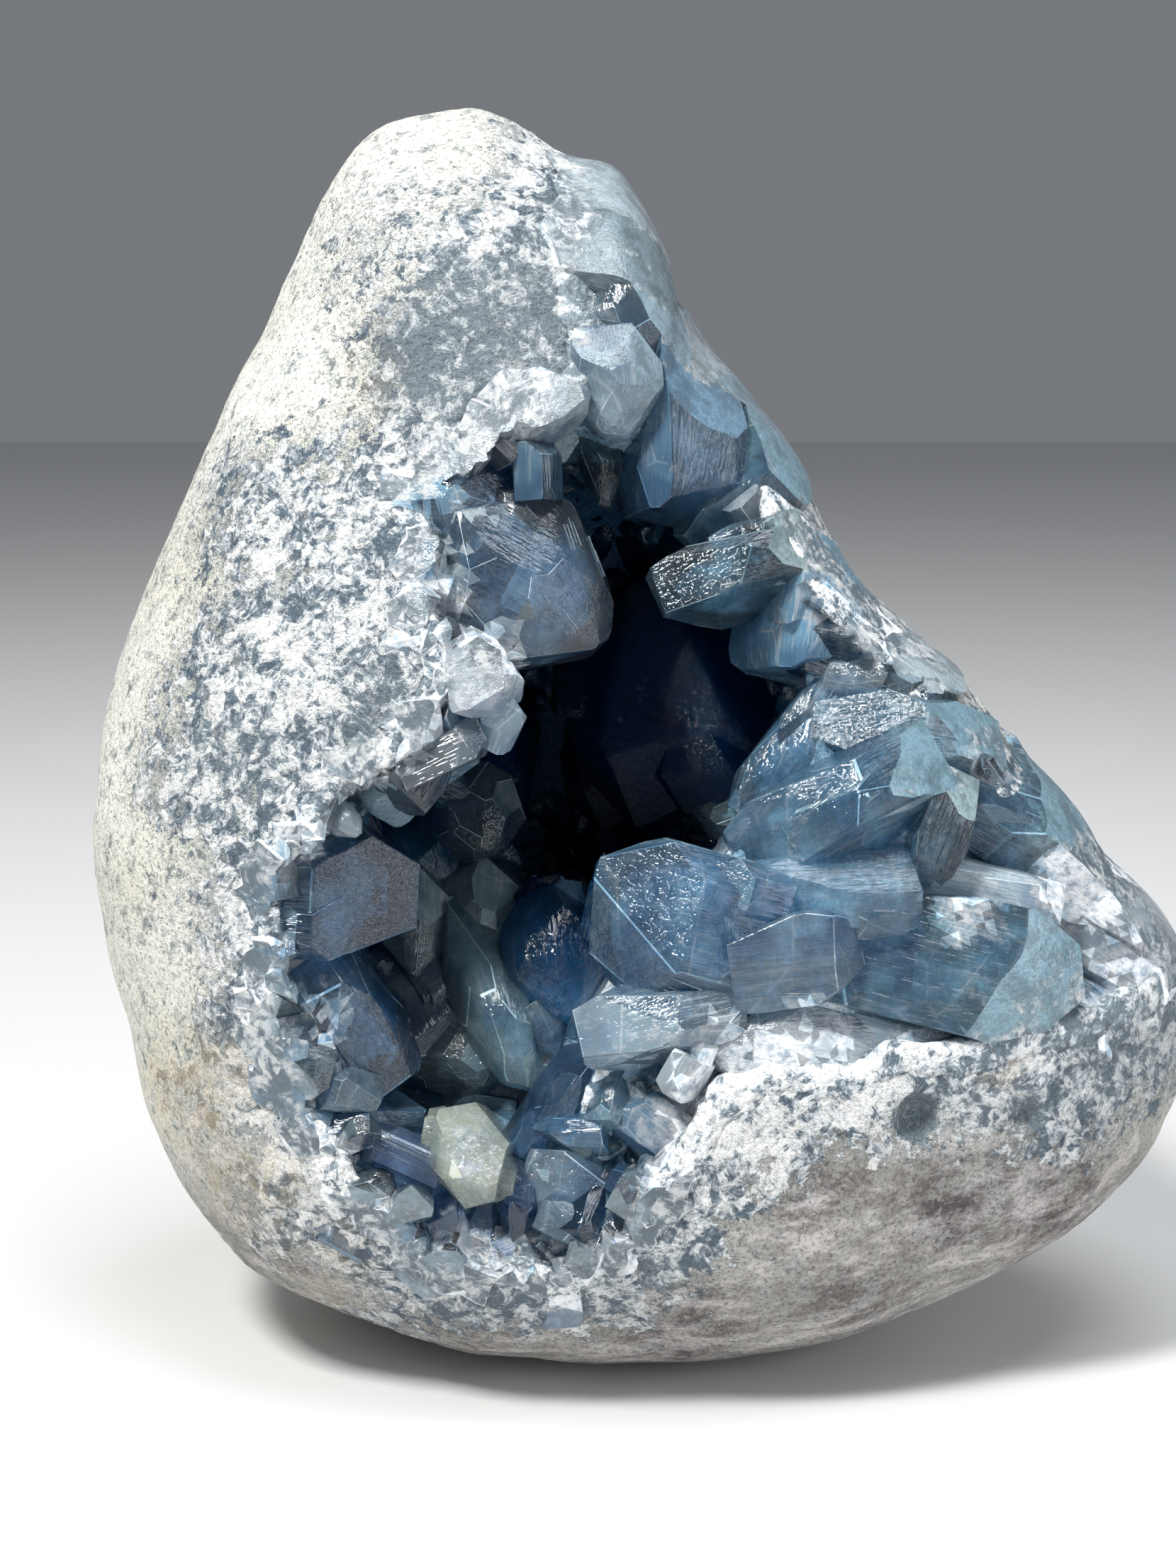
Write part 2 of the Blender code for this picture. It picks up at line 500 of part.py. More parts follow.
def build_crust(material):
    """The lining of the hollow with every crystal grown into it, as one solid.

    The exact solver loses these crowded flat faces, and every mesh here is closed, so the manifold one joins them.
    """
    crystals = face_crystals() + wall_crystals()
    cluster = crystals.pop()
    group = bpy.data.collections.new("crystals")
    bpy.context.scene.collection.children.link(group)
    for crystal in crystals:
        bpy.context.scene.collection.objects.unlink(crystal)
        group.objects.link(crystal)
    combine(cluster, "UNION", group=group, solver="MANIFOLD")
    combine(cluster, "INTERSECT", hollow_solid("reach", 2 * TOUCH_GAP), solver="MANIFOLD")
    combine(cluster, "INTERSECT", stone_solid("ground_off", -CRYSTAL_RISE), solver="MANIFOLD")
    crust = hollow_solid("crystal_crust", TOUCH_GAP)
    combine(crust, "INTERSECT", stone_solid("lining_face", FACE_SINK), solver="MANIFOLD")
    pocket = bowl_solid("pocket", POCKET_EDGE, POCKET_MIDDLE, POCKET_RINGS, POCKET_BACK, POCKET_SIDES)
    combine(crust, "DIFFERENCE", pocket, solver="MANIFOLD")
    combine(crust, "UNION", cluster, solver="MANIFOLD")
    largest_piece(crust)
    stand_up(crust)
    crust.data.materials.clear()
    crust.data.materials.append(material)
    return crust


def main():
    clear_scene()
    build_shell(make_material("limestone", (0.62, 0.60, 0.56), 0.85))
    build_crust(make_material("celestite", (0.33, 0.45, 0.58), 0.2))


main()
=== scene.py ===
# Celestite geode: a ground limestone pear whose front opens on a hollow full of blue crystals.
# Shapes are laid out in millimetres on the geode's face: x right, z up, y away from the eye.
import json
import math
import random

import bmesh
import bpy
import numpy as np
from mathutils import Matrix, Vector, noise
from mathutils.bvhtree import BVHTree
from mathutils.kdtree import KDTree

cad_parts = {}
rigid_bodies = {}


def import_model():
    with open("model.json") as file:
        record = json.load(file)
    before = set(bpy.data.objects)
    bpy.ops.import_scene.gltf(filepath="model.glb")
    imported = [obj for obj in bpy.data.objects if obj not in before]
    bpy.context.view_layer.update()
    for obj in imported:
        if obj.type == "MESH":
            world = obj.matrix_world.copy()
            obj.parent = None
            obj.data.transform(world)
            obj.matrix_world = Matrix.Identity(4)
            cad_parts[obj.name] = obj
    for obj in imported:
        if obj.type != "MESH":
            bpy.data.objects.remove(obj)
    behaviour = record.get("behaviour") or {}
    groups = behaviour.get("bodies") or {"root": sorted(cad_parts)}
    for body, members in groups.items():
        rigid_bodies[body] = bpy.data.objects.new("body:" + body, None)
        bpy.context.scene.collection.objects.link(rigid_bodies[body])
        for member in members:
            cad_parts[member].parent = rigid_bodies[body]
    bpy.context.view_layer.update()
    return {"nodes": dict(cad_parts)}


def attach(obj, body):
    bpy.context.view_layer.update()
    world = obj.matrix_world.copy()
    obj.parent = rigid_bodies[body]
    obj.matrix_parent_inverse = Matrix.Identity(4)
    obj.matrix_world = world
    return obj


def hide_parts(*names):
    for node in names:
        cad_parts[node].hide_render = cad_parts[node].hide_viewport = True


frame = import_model()
print("frame loaded")

mm = 0.001
standing = {"leanBack": 10.0, "flatSpotRight": 3.5, "flatSpotBehind": 0.5, "floorDrop": 55.3, "eyeDistance": 262.0}
lean = Matrix.Rotation(-math.radians(standing["leanBack"]), 4, "X")
lift = Matrix.Translation((-standing["flatSpotRight"], -standing["flatSpotBehind"], standing["floorDrop"]))
faceToRow = lift @ lean                      # still in millimetres
rowScale = Matrix.Scale(mm, 4)
eye = Vector((0, -standing["eyeDistance"], 0))


def deselectAll():
    for thing in bpy.context.selected_objects:
        thing.select_set(False)


def makeActive(thing):
    deselectAll()
    thing.select_set(True)
    bpy.context.view_layer.objects.active = thing


def applyModifier(thing, kind, **values):
    makeActive(thing)
    step = thing.modifiers.new(kind.lower(), kind)
    for key, value in values.items():
        setattr(step, key, value)
    bpy.ops.object.modifier_apply(modifier=step.name)


def combine(thing, operation, cutter=None, group=None):
    if group:
        applyModifier(thing, "BOOLEAN", operation=operation, solver="MANIFOLD", operand_type="COLLECTION",
                      collection=group)
    else:
        applyModifier(thing, "BOOLEAN", operation=operation, solver="MANIFOLD", object=cutter)
    for used in list(group.objects) if group else [cutter]:
        bpy.data.objects.remove(used)


def displaceTexture(name, kind, size, **values):
    texture = bpy.data.textures.new(name, kind)
    texture.noise_scale = size
    for key, value in values.items():
        setattr(texture, key, value)
    return texture


def paint(mesh, name, values):
    mesh.attributes.new(name, "FLOAT", "POINT").data.foreach_set("value", values)


def fade(value, start, over):
    # 0 at start, 1 when over has been passed
    return max(0.0, min(1.0, (value - start) / over))


def smoothLoop(points, count):
    # a closed curve through the points, cut into equal steps
    fine = []
    steps = 24
    for i in range(len(points)):
        p0, p1, p2, p3 = (Vector(points[(i + k) % len(points)]) for k in (-1, 0, 1, 2))
        for step in range(steps):
            t = step / steps
            fine.append(0.5 * (2 * p1 + (p2 - p0) * t + (2 * p0 - 5 * p1 + 4 * p2 - p3) * t ** 2
                               + (3 * p1 - p0 - 3 * p2 + p3) * t ** 3))
    lengths = [(fine[(i + 1) % len(fine)] - p).length for i, p in enumerate(fine)]
    spacing = sum(lengths) / count
    loop, walked, wanted = [], 0.0, 0.0
    for i, p in enumerate(fine):
        while wanted < walked + lengths[i] and len(loop) < count:
            loop.append(p.lerp(fine[(i + 1) % len(fine)], (wanted - walked) / lengths[i]))
            wanted += spacing
        walked += lengths[i]
    return loop


def sighted(x, y, z):
    # the point at depth y that the eye sees at x, z on the face
    spread = 1 + y / standing["eyeDistance"]
    return Vector((x * spread, y, z * spread))


def seenAt(p):
    spread = 1 + p.y / standing["eyeDistance"]
    return p.x / spread, p.z / spread


def ringSolid(name, rings, frontPole, backPole, shrink=0.0):
    shape = bmesh.new()
    loops = [[shape.verts.new(p) for p in ring] for ring in rings]
    count = len(loops[0])
    for near, far in zip(loops, loops[1:]):
        for i in range(count):
            j = (i + 1) % count
            shape.faces.new((near[i], near[j], far[j]))
            shape.faces.new((near[i], far[j], far[i]))
    for loop, pole in ((loops[0], frontPole), (loops[-1], backPole)):
        tip = shape.verts.new(pole)
        for i in range(count):
            shape.faces.new((loop[i], loop[(i + 1) % count], tip))
    bmesh.ops.recalc_face_normals(shape, faces=shape.faces)
    shape.normal_update()
    moved = [v.co - v.normal * shrink for v in shape.verts]
    for v, place in zip(shape.verts, moved):
        v.co = place
    mesh = bpy.data.meshes.new(name)
    shape.to_mesh(mesh)
    shape.free()
    solid = bpy.data.objects.new(name, mesh)
    bpy.context.scene.collection.objects.link(solid)
    return solid


# the stone's outline as the eye sees it, and how it swells to the front and the back
stone = {
    "frontSwell": 31.0, "backSwell": 37.0, "roundness": 2.3, "middle": (3.0, -10.0), "meanRadius": 52.0,
    "frontRounding": (0.7, 0.7), "backRounding": (1.0, 0.5), "seenWider": 1.015, "sides": 180, "rings": 34,
    "outline": [
        (-14, 68), (-8, 66.5), (-2, 63.5), (3, 61.5), (6.8, 54), (8.4, 49), (11, 44), (16, 38), (20.5, 30.5),
        (27, 20), (35, 13), (42.5, 4), (50, -5.5), (57, -13), (61, -22), (58, -32.5), (50, -42), (38, -50),
        (22, -55.5), (2, -57.5), (-18, -55.5), (-32, -50), (-41, -40), (-46.5, -26), (-49.5, -10), (-49.5, 2),
        (-46, 17), (-38, 34.5), (-30, 51), (-23, 65),
    ],
    "waves": [(0.9, 21.0), (0.45, 8.0)],      # height, spread
    "waveShift": (9, 2, 5),
    # x, z, reach, height, side (-1 front, 1 back, 0 both)
    "swellings": [
        (-9, 67, 8, 1.2, 0), (-30, 30, 16, 0.8, -1), (-42, -20, 14, -0.9, -1), (20, -48, 16, 1.0, -1),
        (44, -36, 13, 0.9, 0), (-14, 48, 12, 0.9, -1), (-20, -48, 12, -0.8, 0), (-8, 22, 20, 1.8, 1),
        (-25, -25, 18, 1.6, 1), (34, -20, 15, 1.4, 1),
    ],
    "pits": [(33, -33.5, 2.2, 1.9), (44, -33, 1.7, 1.1)],      # x, z, radius, depth
    "voxel": 0.8,
    # strength, middle level and noise size of the two kinds of roughness
    "coarse": (0.9, 0.5, 2.6), "grains": (0.35, 0.4, 1.7), "leastRough": 0.25,
}

# the hollow behind the mouth: its edge on the face, and how far it reaches at each depth
hollow = {
    "middle": (5.0, -2.0), "back": 23.5, "sides": 150, "edgePoints": 320,
    "edge": [
        (-2.5, 65), (4.5, 64), (9, 55), (12.5, 46), (18, 38), (21.5, 32), (19.5, 29), (25, 20.5), (33, 13),
        (40, 4.5), (47, -4), (54, -7), (61, -14), (60, -21), (50, -26), (44, -26.5), (38, -29), (31, -28.5),
        (26, -31), (18, -30.5), (13, -34), (11, -39), (7.5, -41.5), (6.5, -46), (1, -49), (-3, -51.5),
        (-8, -49.5), (-13, -50.5), (-17, -49), (-21, -44), (-26, -42.5), (-27.5, -37), (-31.5, -33), (-32, -27),
        (-34.5, -24), (-33, -18), (-34.5, -12), (-32.5, -6), (-29, -3), (-26, 2), (-22.5, 2.5), (-18, 7),
        (-16, 12), (-19, 18), (-18, 24), (-20, 29), (-15, 33), (-12, 37.5), (-5, 38.5), (-1.5, 43), (-2.8, 49),
        (-1.8, 54), (-3, 60),
    ],
    "rings": [(-60, 1.0), (-21, 0.99), (-9, 0.96), (1, 0.9), (9, 0.8), (16, 0.62), (21, 0.36)],   # depth, reach
}


def roughened(p, middle):
    out = (p - Vector((middle.x, 0, middle.y))).normalized()
    rise = sum(height * noise.noise(p / spread + Vector(stone["waveShift"]) * i)
               for i, (height, spread) in enumerate(stone["waves"]))
    for x, z, reach, height, side in stone["swellings"]:
        if side * p.y < 0:
            continue
        away = math.hypot(p.x - x, p.z - z) / reach
        if away < 1:
            rise += height * (1 - away ** 2) ** 2
    return p + out * rise


def stoneForm(name, grow=0.0, sides=stone["sides"], count=stone["rings"]):
    outline = smoothLoop(stone["outline"], sides)
    middle = Vector(stone["middle"])
    made = []
    for step in range(-count, count + 1):
        angle = math.radians(90 * step / (count + 0.5))
        reach = math.cos(angle) ** (2 / stone["roundness"])
        swell, (most, late) = ((stone["frontSwell"], stone["frontRounding"]) if step < 0
                               else (stone["backSwell"], stone["backRounding"]))
        depth = math.copysign(abs(math.sin(angle)) ** (2 / stone["roundness"]), step) * swell
        rounding = most * (1 - reach) ** late
        ring = []
        for p in outline:
            out = p - middle
            radius = out.length / stone["seenWider"] * (1 - rounding) + stone["meanRadius"] * rounding
            flat = middle + out.normalized() * radius * reach
            ring.append(roughened(Vector((flat.x, depth, flat.y)), middle))
        made.append(ring)
    front = roughened(Vector((middle.x, -stone["frontSwell"], middle.y)), middle)
    back = roughened(Vector((middle.x, stone["backSwell"], middle.y)), middle)
    return ringSolid(name, made, front, back, -grow)


def hollowForm(name, shrink=0.0):
    loop = smoothLoop(hollow["edge"], hollow["sides"])
    centre = Vector(hollow["middle"])
    rings = []
    for depth, reach in hollow["rings"]:
        flats = [centre + (p - centre) * reach for p in loop]
        rings.append([sighted(flat.x, depth, flat.y) for flat in flats])
    mouth = sighted(centre.x, hollow["rings"][0][0] - 1, centre.y)
    bottom = sighted(centre.x, hollow["back"], centre.y)
    return ringSolid(name, rings, mouth, bottom, shrink)


def treeOf(things):
    points, faces = [], []
    for thing in things:
        start = len(points)
        points += [thing.matrix_world @ v.co for v in thing.data.vertices]
        faces += [[start + i for i in p.vertices] for p in thing.data.polygons]
    return BVHTree.FromPolygons(points, faces)


def fromEye(tree, x, z):
    return tree.ray_cast(eye, Vector((x, standing["eyeDistance"], z)).normalized())


bareStone = stoneForm("bareStone")
stoneTree = treeOf([bareStone])
bpy.data.objects.remove(bareStone)

# the mouth's edge, laid on the stone's surface
mouthEdge = []
for p in smoothLoop(hollow["edge"], hollow["edgePoints"]):
    place = fromEye(stoneTree, p.x, p.y)[0]
    if place is None:
        place = stoneTree.find_nearest(sighted(p.x, 0, p.y))[0]
    mouthEdge.append(place)
mouthTree = KDTree(len(mouthEdge))
for i, p in enumerate(mouthEdge):
    mouthTree.insert(p, i)
mouthTree.balance()


def makeShell():
    shell = stoneForm("limestone_shell")
    for x, z, radius, depth in stone["pits"]:
        place, normal, _, _ = fromEye(stoneTree, x, z)
        bpy.ops.mesh.primitive_uv_sphere_add(segments=20, ring_count=10, radius=1.0)
        pit = bpy.context.object
        turn = normal.to_track_quat("Z", "Y").to_matrix().to_4x4()
        pit.data.transform(Matrix.Translation(place) @ turn @ Matrix.Diagonal((radius, radius, depth, 1)))
        combine(shell, "DIFFERENCE", pit)
    combine(shell, "DIFFERENCE", hollowForm("hollow"))
    shell.data.transform(faceToRow)
    makeActive(shell)
    bpy.ops.object.mode_set(mode="EDIT")
    bpy.ops.mesh.select_all(action="SELECT")
    bpy.ops.mesh.bisect(plane_co=(0, 0, 0), plane_no=(0, 0, -1), use_fill=True, clear_outer=True)
    bpy.ops.object.mode_set(mode="OBJECT")
    applyModifier(shell, "REMESH", mode="VOXEL", voxel_size=stone["voxel"] * 1)
    print("shell remeshed", len(shell.data.polygons))
    return shell


# spots on the face: x, z, reach, amount
# where the ground face is mottled with cut crystal roots
mottledSpots = [
    (-8, 50, 13, 1.0), (-20, 53, 12, 0.45), (-4, 60, 8, 0.8), (-16, 42, 11, 0.8), (-31, 27, 12, 0.75),
    (-24, 20, 10, 0.8), (-30, 10, 15, 1.0), (-37, 1, 11, 0.8), (-33, -8, 9, 0.6), (-31, -20, 8, 0.7),
    (-36, -30, 8, 0.5), (-30, -42, 9, 0.7), (-18, -50, 9, 0.6), (18, -33, 10, 0.9), (34, -31, 8, 0.8),
    (47, -29, 11, 1.0), (56, -22, 12, 1.0),
]
# where the mottled zone shows more crystal and less frost; below zero is more frost, the last two are the pits
dimSpots = [
    (-3, 44, 15, 1.4), (-12, 44, 11, 1.9), (-8, 32, 9, 0.7), (0, 58, 9, 0.6), (54, -24, 13, 0.8),
    (-22, -4, 8, 0.6), (40, -30, 10, 0.5), (-25, -36, 10, -1.3), (-10, -48, 9, 0.6), (5, -48, 8, 0.5),
    (-36, 3, 8, 0.5), (-20, 8, 8, 0.6), (8, 50, 9, 0.8), (18, -34, 11, -1.0), (30, -33, 8, -0.7),
    # the last two, the pits, are darkened partly for a dark plug crystal and partly as painted shade inside them
    (-10, 63, 10, -0.8), (-35, 10, 8, -0.5), (52, -13, 6, -1.0), (33, -33.5, 2.8, 3.5), (44, -33, 2.2, 2.5),
]
# where iron has stained it tan
stainSpots = [(-39, -31, 8, 0.6), (-33, -40, 7, 0.45), (-26, -48, 6, 0.3), (41, -27, 4, 0.5), (-22, 40, 5, 0.2)]
# where it is pinkish and coarser
blushSpots = [
    (22, -40, 14, 1.0), (36, -43, 14, 1.0), (-32, -48, 18, 0.8), (-12, -58, 18, 1.0), (8, -56, 20, 1.0),
    (26, -52, 20, 0.9), (46, -42, 18, 1.0),
]


def spotSum(spots, x, z):
    total = 0.0
    for sx, sz, reach, amount in spots:
        away = math.hypot(x - sx, z - sz) / reach
        if away < 1:
            total = max(total, amount * (1 - away ** 2), key=abs)
    return total


def insideMouth(x, z):
    loop = hollow["edge"]
    inside = False
    for (x1, z1), (x2, z2) in zip(loop, loop[1:] + loop[:1]):
        if (z1 > z) != (z2 > z) and x < (x2 - x1) * (z - z1) / (z2 - z1) + x1:
            inside = not inside
    return inside


zones = {
    "wander": [(9.0, 3.0), (3.0, 2.0)],       # noise size and height that make the borders ragged
    "mottledBand": 11.0,                      # how far the mottling reaches from the mouth's edge
    "front": (6, -14), "rear": (-2, 14), "stain": (10, -14), "low": (-44, -12), "lowBlush": 0.6, "leastBlush": 0.35,
    "wallSkin": (0.8, 1), "wallDepth": 28,
}


def paintShell(shell):
    rowToFace = faceToRow.inverted()
    mesh = shell.data
    marks = {"mottle": [], "blush": [], "dim": [], "stain": [], "inside": [], "rear": []}
    for v in mesh.vertices:
        p = rowToFace @ v.co
        x, z = seenAt(p)
        wander = sum(noise.noise(p / size) * height for size, height in zones["wander"])
        band = max(0.0, 1 - (mouthTree.find(p)[2] + wander) / zones["mottledBand"])
        front = fade(p.y, *zones["front"])
        low = fade(z, *zones["low"]) * zones["lowBlush"]
        walled = insideMouth(x, z) and p.y < zones["wallDepth"]
        marks["rear"].append(fade(p.y, *zones["rear"]))
        marks["inside"].append(fade(stoneTree.find_nearest(p)[3], *zones["wallSkin"]) if walled else 0.0)
        marks["mottle"].append(min(1.0, max(band, spotSum(mottledSpots, x + wander, z + wander) * front)))
        marks["dim"].append(spotSum(dimSpots, x, z))
        marks["stain"].append(spotSum(stainSpots, x, z) * fade(p.y, *zones["stain"]))
        marks["blush"].append(min(1.0, max(low, spotSum(blushSpots, x, z) * max(zones["leastBlush"], front))))
    for name, values in marks.items():
        paint(mesh, name, values)
    rough = shell.vertex_groups.new(name="rough")
    for i, amount in enumerate(marks["mottle"]):
        rough.add([i], stone["leastRough"] + (1 - stone["leastRough"]) * amount, "REPLACE")


def roughenShell(shell):
    for name, kind, more in (("coarse", "CLOUDS", {"noise_depth": 3}), ("grains", "VORONOI", {})):
        strength, level, size = stone[name]
        applyModifier(shell, "DISPLACE", texture=displaceTexture(name, kind, size, **more), texture_coords="LOCAL",
                      strength=strength, mid_level=level, vertex_group="rough")
    for v in shell.data.vertices:
        v.co.z = max(v.co.z, 0.0)


class Shading:
    # one material's node tree, with a short call for each kind of node

    def __init__(self, name):
        self.material = bpy.data.materials.new(name)
        self.material.use_nodes = True
        self.nodes = self.material.node_tree.nodes
        self.links = self.material.node_tree.links
        self.shader = self.nodes["Principled BSDF"]

    def plug(self, value, socket):
        if isinstance(value, (int, float)):
            socket.default_value = value
        elif isinstance(value, tuple):
            socket.default_value = (*value, 1)
        else:
            self.links.new(value, socket)

    def surface(self, values):
        for name, value in values.items():
            self.plug(value, self.shader.inputs[name])

    def attribute(self, name, output="Fac"):
        made = self.nodes.new("ShaderNodeAttribute")
        made.attribute_name = name
        return made.outputs[output]

    def stretched(self, vector, scale, turn=(0, 0, 0)):
        made = self.nodes.new("ShaderNodeMapping")
        made.inputs["Rotation"].default_value = turn
        made.inputs["Scale"].default_value = scale
        self.links.new(vector, made.inputs["Vector"])
        return made.outputs["Vector"]

    def noise(self, vector, scale, detail, roughness, distortion=0.0):
        made = self.nodes.new("ShaderNodeTexNoise")
        for name, value in (("Scale", scale), ("Detail", detail), ("Roughness", roughness),
                            ("Distortion", distortion), ("Vector", vector)):
            self.plug(value, made.inputs[name])
        return made.outputs["Fac"]

    def cells(self, vector, scale, feature="F1"):
        made = self.nodes.new("ShaderNodeTexVoronoi")
        made.feature = feature
        made.inputs["Scale"].default_value = scale
        self.links.new(vector, made.inputs["Vector"])
        return made.outputs

    def channel(self, colour, name):
        made = self.nodes.new("ShaderNodeSeparateColor")
        self.links.new(colour, made.inputs["Color"])
        return made.outputs[name]

    def ramp(self, value, *stops):
        # a stop: where on the value, and a grey or a colour
        made = self.nodes.new("ShaderNodeValToRGB")
        ramp = made.color_ramp
        while len(ramp.elements) < len(stops):
            ramp.elements.new(0.5)
        for element, (at, colour) in zip(ramp.elements, stops):
            element.position = at
            element.color = (*colour, 1) if isinstance(colour, tuple) else (colour, colour, colour, 1)
        self.links.new(value, made.inputs["Fac"])
        return made.outputs["Color"]

    def mix(self, amount, low, high, blend="MIX"):
        made = self.nodes.new("ShaderNodeMix")
        made.data_type = "RGBA"
        made.blend_type = blend
        for value, socket in ((amount, made.inputs[0]), (low, made.inputs[6]), (high, made.inputs[7])):
            self.plug(value, socket)
        return made.outputs[2]

    def calc(self, operation, *values):
        made = self.nodes.new("ShaderNodeMath")
        made.operation = operation
        for value, socket in zip(values, made.inputs):
            self.plug(value, socket)
        return made.outputs[0]

    def times(self, value, factor):
        return self.calc("MULTIPLY", value, factor)

    def addTimes(self, value, factor, start):
        return self.calc("MULTIPLY_ADD", value, factor, start)

    def bump(self, height, strength, distance):
        made = self.nodes.new("ShaderNodeBump")
        made.inputs["Strength"].default_value = strength
        made.inputs["Distance"].default_value = distance
        self.links.new(height, made.inputs["Height"])
        self.links.new(made.outputs["Normal"], self.shader.inputs["Normal"])

    def absorb(self, colour, density):
        made = self.nodes.new("ShaderNodeVolumeAbsorption")
        made.inputs["Color"].default_value = (*colour, 1)
        made.inputs["Density"].default_value = density
        self.links.new(made.outputs["Volume"], self.nodes["Material Output"].inputs["Volume"])


frosting = {"scale": 330, "raggedness": 2.4, "starts": 0.30, "full": 0.75}


# size, here and below: 1 where place is in metres, mm where it is in millimetres
def frostGrowth(tree, place, frost, size):
    # frost shows where its amount beats a ragged noise
    ragged = tree.noise(place, frosting["scale"] * size, 4, 0.75)
    level = tree.calc("ADD", frost, tree.times(tree.calc("SUBTRACT", ragged, 0.5), frosting["raggedness"]))
    return tree.ramp(level, (frosting["starts"], 0.0), (frosting["full"], 1.0))


mottling = {
    "drift": 400, "wide": 110, "driftShare": 1.2, "wideShare": 0.30, "start": -0.40,
    "cells": ((560, 0.15), (1500, 0.18)), "dimShare": -0.08, "cellRelief": -0.35,
    "colours": ((0.38, (0.09, 0.13, 0.17)), (0.46, (0.26, 0.31, 0.35)), (0.51, (0.52, 0.56, 0.59)),
                (0.57, (0.80, 0.82, 0.83)), (0.70, (0.94, 0.94, 0.92))),
    "calmShare": 0.4, "calmMost": 0.42, "calmColour": (0.26, 0.31, 0.33),
}


def mottledRoots(tree, place, dim, size):
    drift = tree.noise(place, mottling["drift"] * size, 5, 0.85, 0.8)
    wide = tree.noise(place, mottling["wide"] * size, 2, 0.6)
    level = tree.addTimes(drift, mottling["driftShare"], mottling["start"])
    level = tree.addTimes(wide, mottling["wideShare"], level)
    for scale, share in mottling["cells"]:
        cells = tree.cells(place, scale * size)
        level = tree.addTimes(tree.channel(cells["Color"], "Red"), share, level)
    level = tree.addTimes(dim, mottling["dimShare"], level)
    colour = tree.ramp(level, *mottling["colours"])
    calm = tree.calc("MINIMUM", tree.times(dim, mottling["calmShare"]), mottling["calmMost"])
    colour = tree.mix(tree.calc("MAXIMUM", calm, 0.0), colour, mottling["calmColour"])
    return colour, level, tree.addTimes(cells["Distance"], mottling["cellRelief"], level)


rind = {
    "broad": 55, "mid": 420, "fine": 2400, "bands": 300, "bandTilt": -12, "bandStretch": (0.35, 1, 1),
    "cream": ((0.78, 0.77, 0.68), (0.95, 0.95, 0.89)), "creamPatches": ((0.35, 0.0), (0.65, 1.0)),
    "grains": ((0.36, 0.45), (0.46, 0.86), (0.56, 1.0)),
    "flecks": ((0.36, (0.30, 0.34, 0.38)), (0.43, (0.74, 0.76, 0.78)), (0.50, (1.0, 1.0, 1.0))),
    "rearPatches": ((0.60, (0.76, 0.72, 0.65)), (0.69, (0.91, 0.89, 0.84)), (0.74, (1.0, 0.99, 0.97))),
    "rearShare": 0.8, "rearMid": 0.35,
    "lilac": ((0.40, (0.11, 0.09, 0.09)), (0.50, (0.25, 0.23, 0.225)), (0.62, (0.62, 0.57, 0.57))),
    "blushPatches": ((0.40, 0.5), (0.52, 1.0)), "edge": ((0.36, 0.0), (0.48, 1.0)), "edgeRaggedness": 2.6,
    "crisp": ((0.38, 0.62), (0.50, 1.0)), "stain": (0.56, 0.44, 0.26), "stainPatches": ((0.44, 0.0), (0.56, 1.0)),
    "wall": (0.03, 0.09, 0.16), "shine": ((0.0, 0.85), (0.5, 0.4)),
    "bump": (1.0, 0.0008), "rootRelief": 0.7, "grainRelief": 0.5,
}


def limestoneMaterial():
    tree = Shading("limestone_ground")
    place = tree.nodes.new("ShaderNodeTexCoord").outputs["Object"]
    broad = tree.noise(place, rind["broad"], 2, 0.6)
    mid = tree.noise(place, rind["mid"], 5, 0.8)
    fine = tree.noise(place, rind["fine"], 3, 0.8)
    # cream rind with grains and flecks, and faint tan patches at the back
    grains = tree.ramp(fine, *rind["grains"])
    cream = tree.mix(tree.ramp(broad, *rind["creamPatches"]), *rind["cream"])
    cream = tree.mix(1.0, cream, grains, "MULTIPLY")
    patches = tree.ramp(tree.addTimes(mid, rind["rearMid"], broad), *rind["rearPatches"])
    flecks = tree.mix(tree.times(tree.attribute("rear"), rind["rearShare"]), tree.ramp(mid, *rind["flecks"]), patches)
    cream = tree.mix(1.0, cream, flecks, "MULTIPLY")
    # pinkish banded stone below
    turn = (0, math.radians(rind["bandTilt"]), 0)
    bands = tree.noise(tree.stretched(place, rind["bandStretch"], turn), rind["bands"], 5, 0.72)
    lilac = tree.mix(1.0, tree.ramp(bands, *rind["lilac"]), grains, "MULTIPLY")
    blush = tree.times(tree.attribute("blush"), tree.ramp(mid, *rind["blushPatches"]))
    body = tree.mix(blush, cream, lilac)
    # white and blue grey mottling round the mouth, then the stains, then the hollow's wall, painted dark blue as
    # shade
    roots, level, height = mottledRoots(tree, place, tree.attribute("dim"), 1)
    edge = tree.addTimes(tree.calc("SUBTRACT", mid, 0.5), rind["edgeRaggedness"], tree.attribute("mottle"))
    edge = tree.ramp(edge, *rind["edge"])
    body = tree.mix(edge, body, tree.mix(1.0, roots, tree.ramp(fine, *rind["crisp"]), "MULTIPLY"))
    stained = tree.times(tree.attribute("stain"), tree.ramp(mid, *rind["stainPatches"]))
    body = tree.mix(stained, body, rind["stain"])
    body = tree.mix(tree.attribute("inside"), body, rind["wall"])
    tree.surface({"Base Color": body, "Roughness": tree.ramp(tree.times(edge, level), *rind["shine"])})
    relief = tree.addTimes(fine, rind["grainRelief"], mid)
    tree.bump(tree.addTimes(tree.times(height, edge), rind["rootRelief"], relief), *rind["bump"])
    return tree.material


shell = makeShell()
paintShell(shell)
roughenShell(shell)
shell.data.transform(rowScale)
shell.data.materials.clear()
shell.data.materials.append(limestoneMaterial())
shell.data.shade_smooth()
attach(shell, "root")
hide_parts("stone_shell")
print("shell done", len(shell.data.polygons))

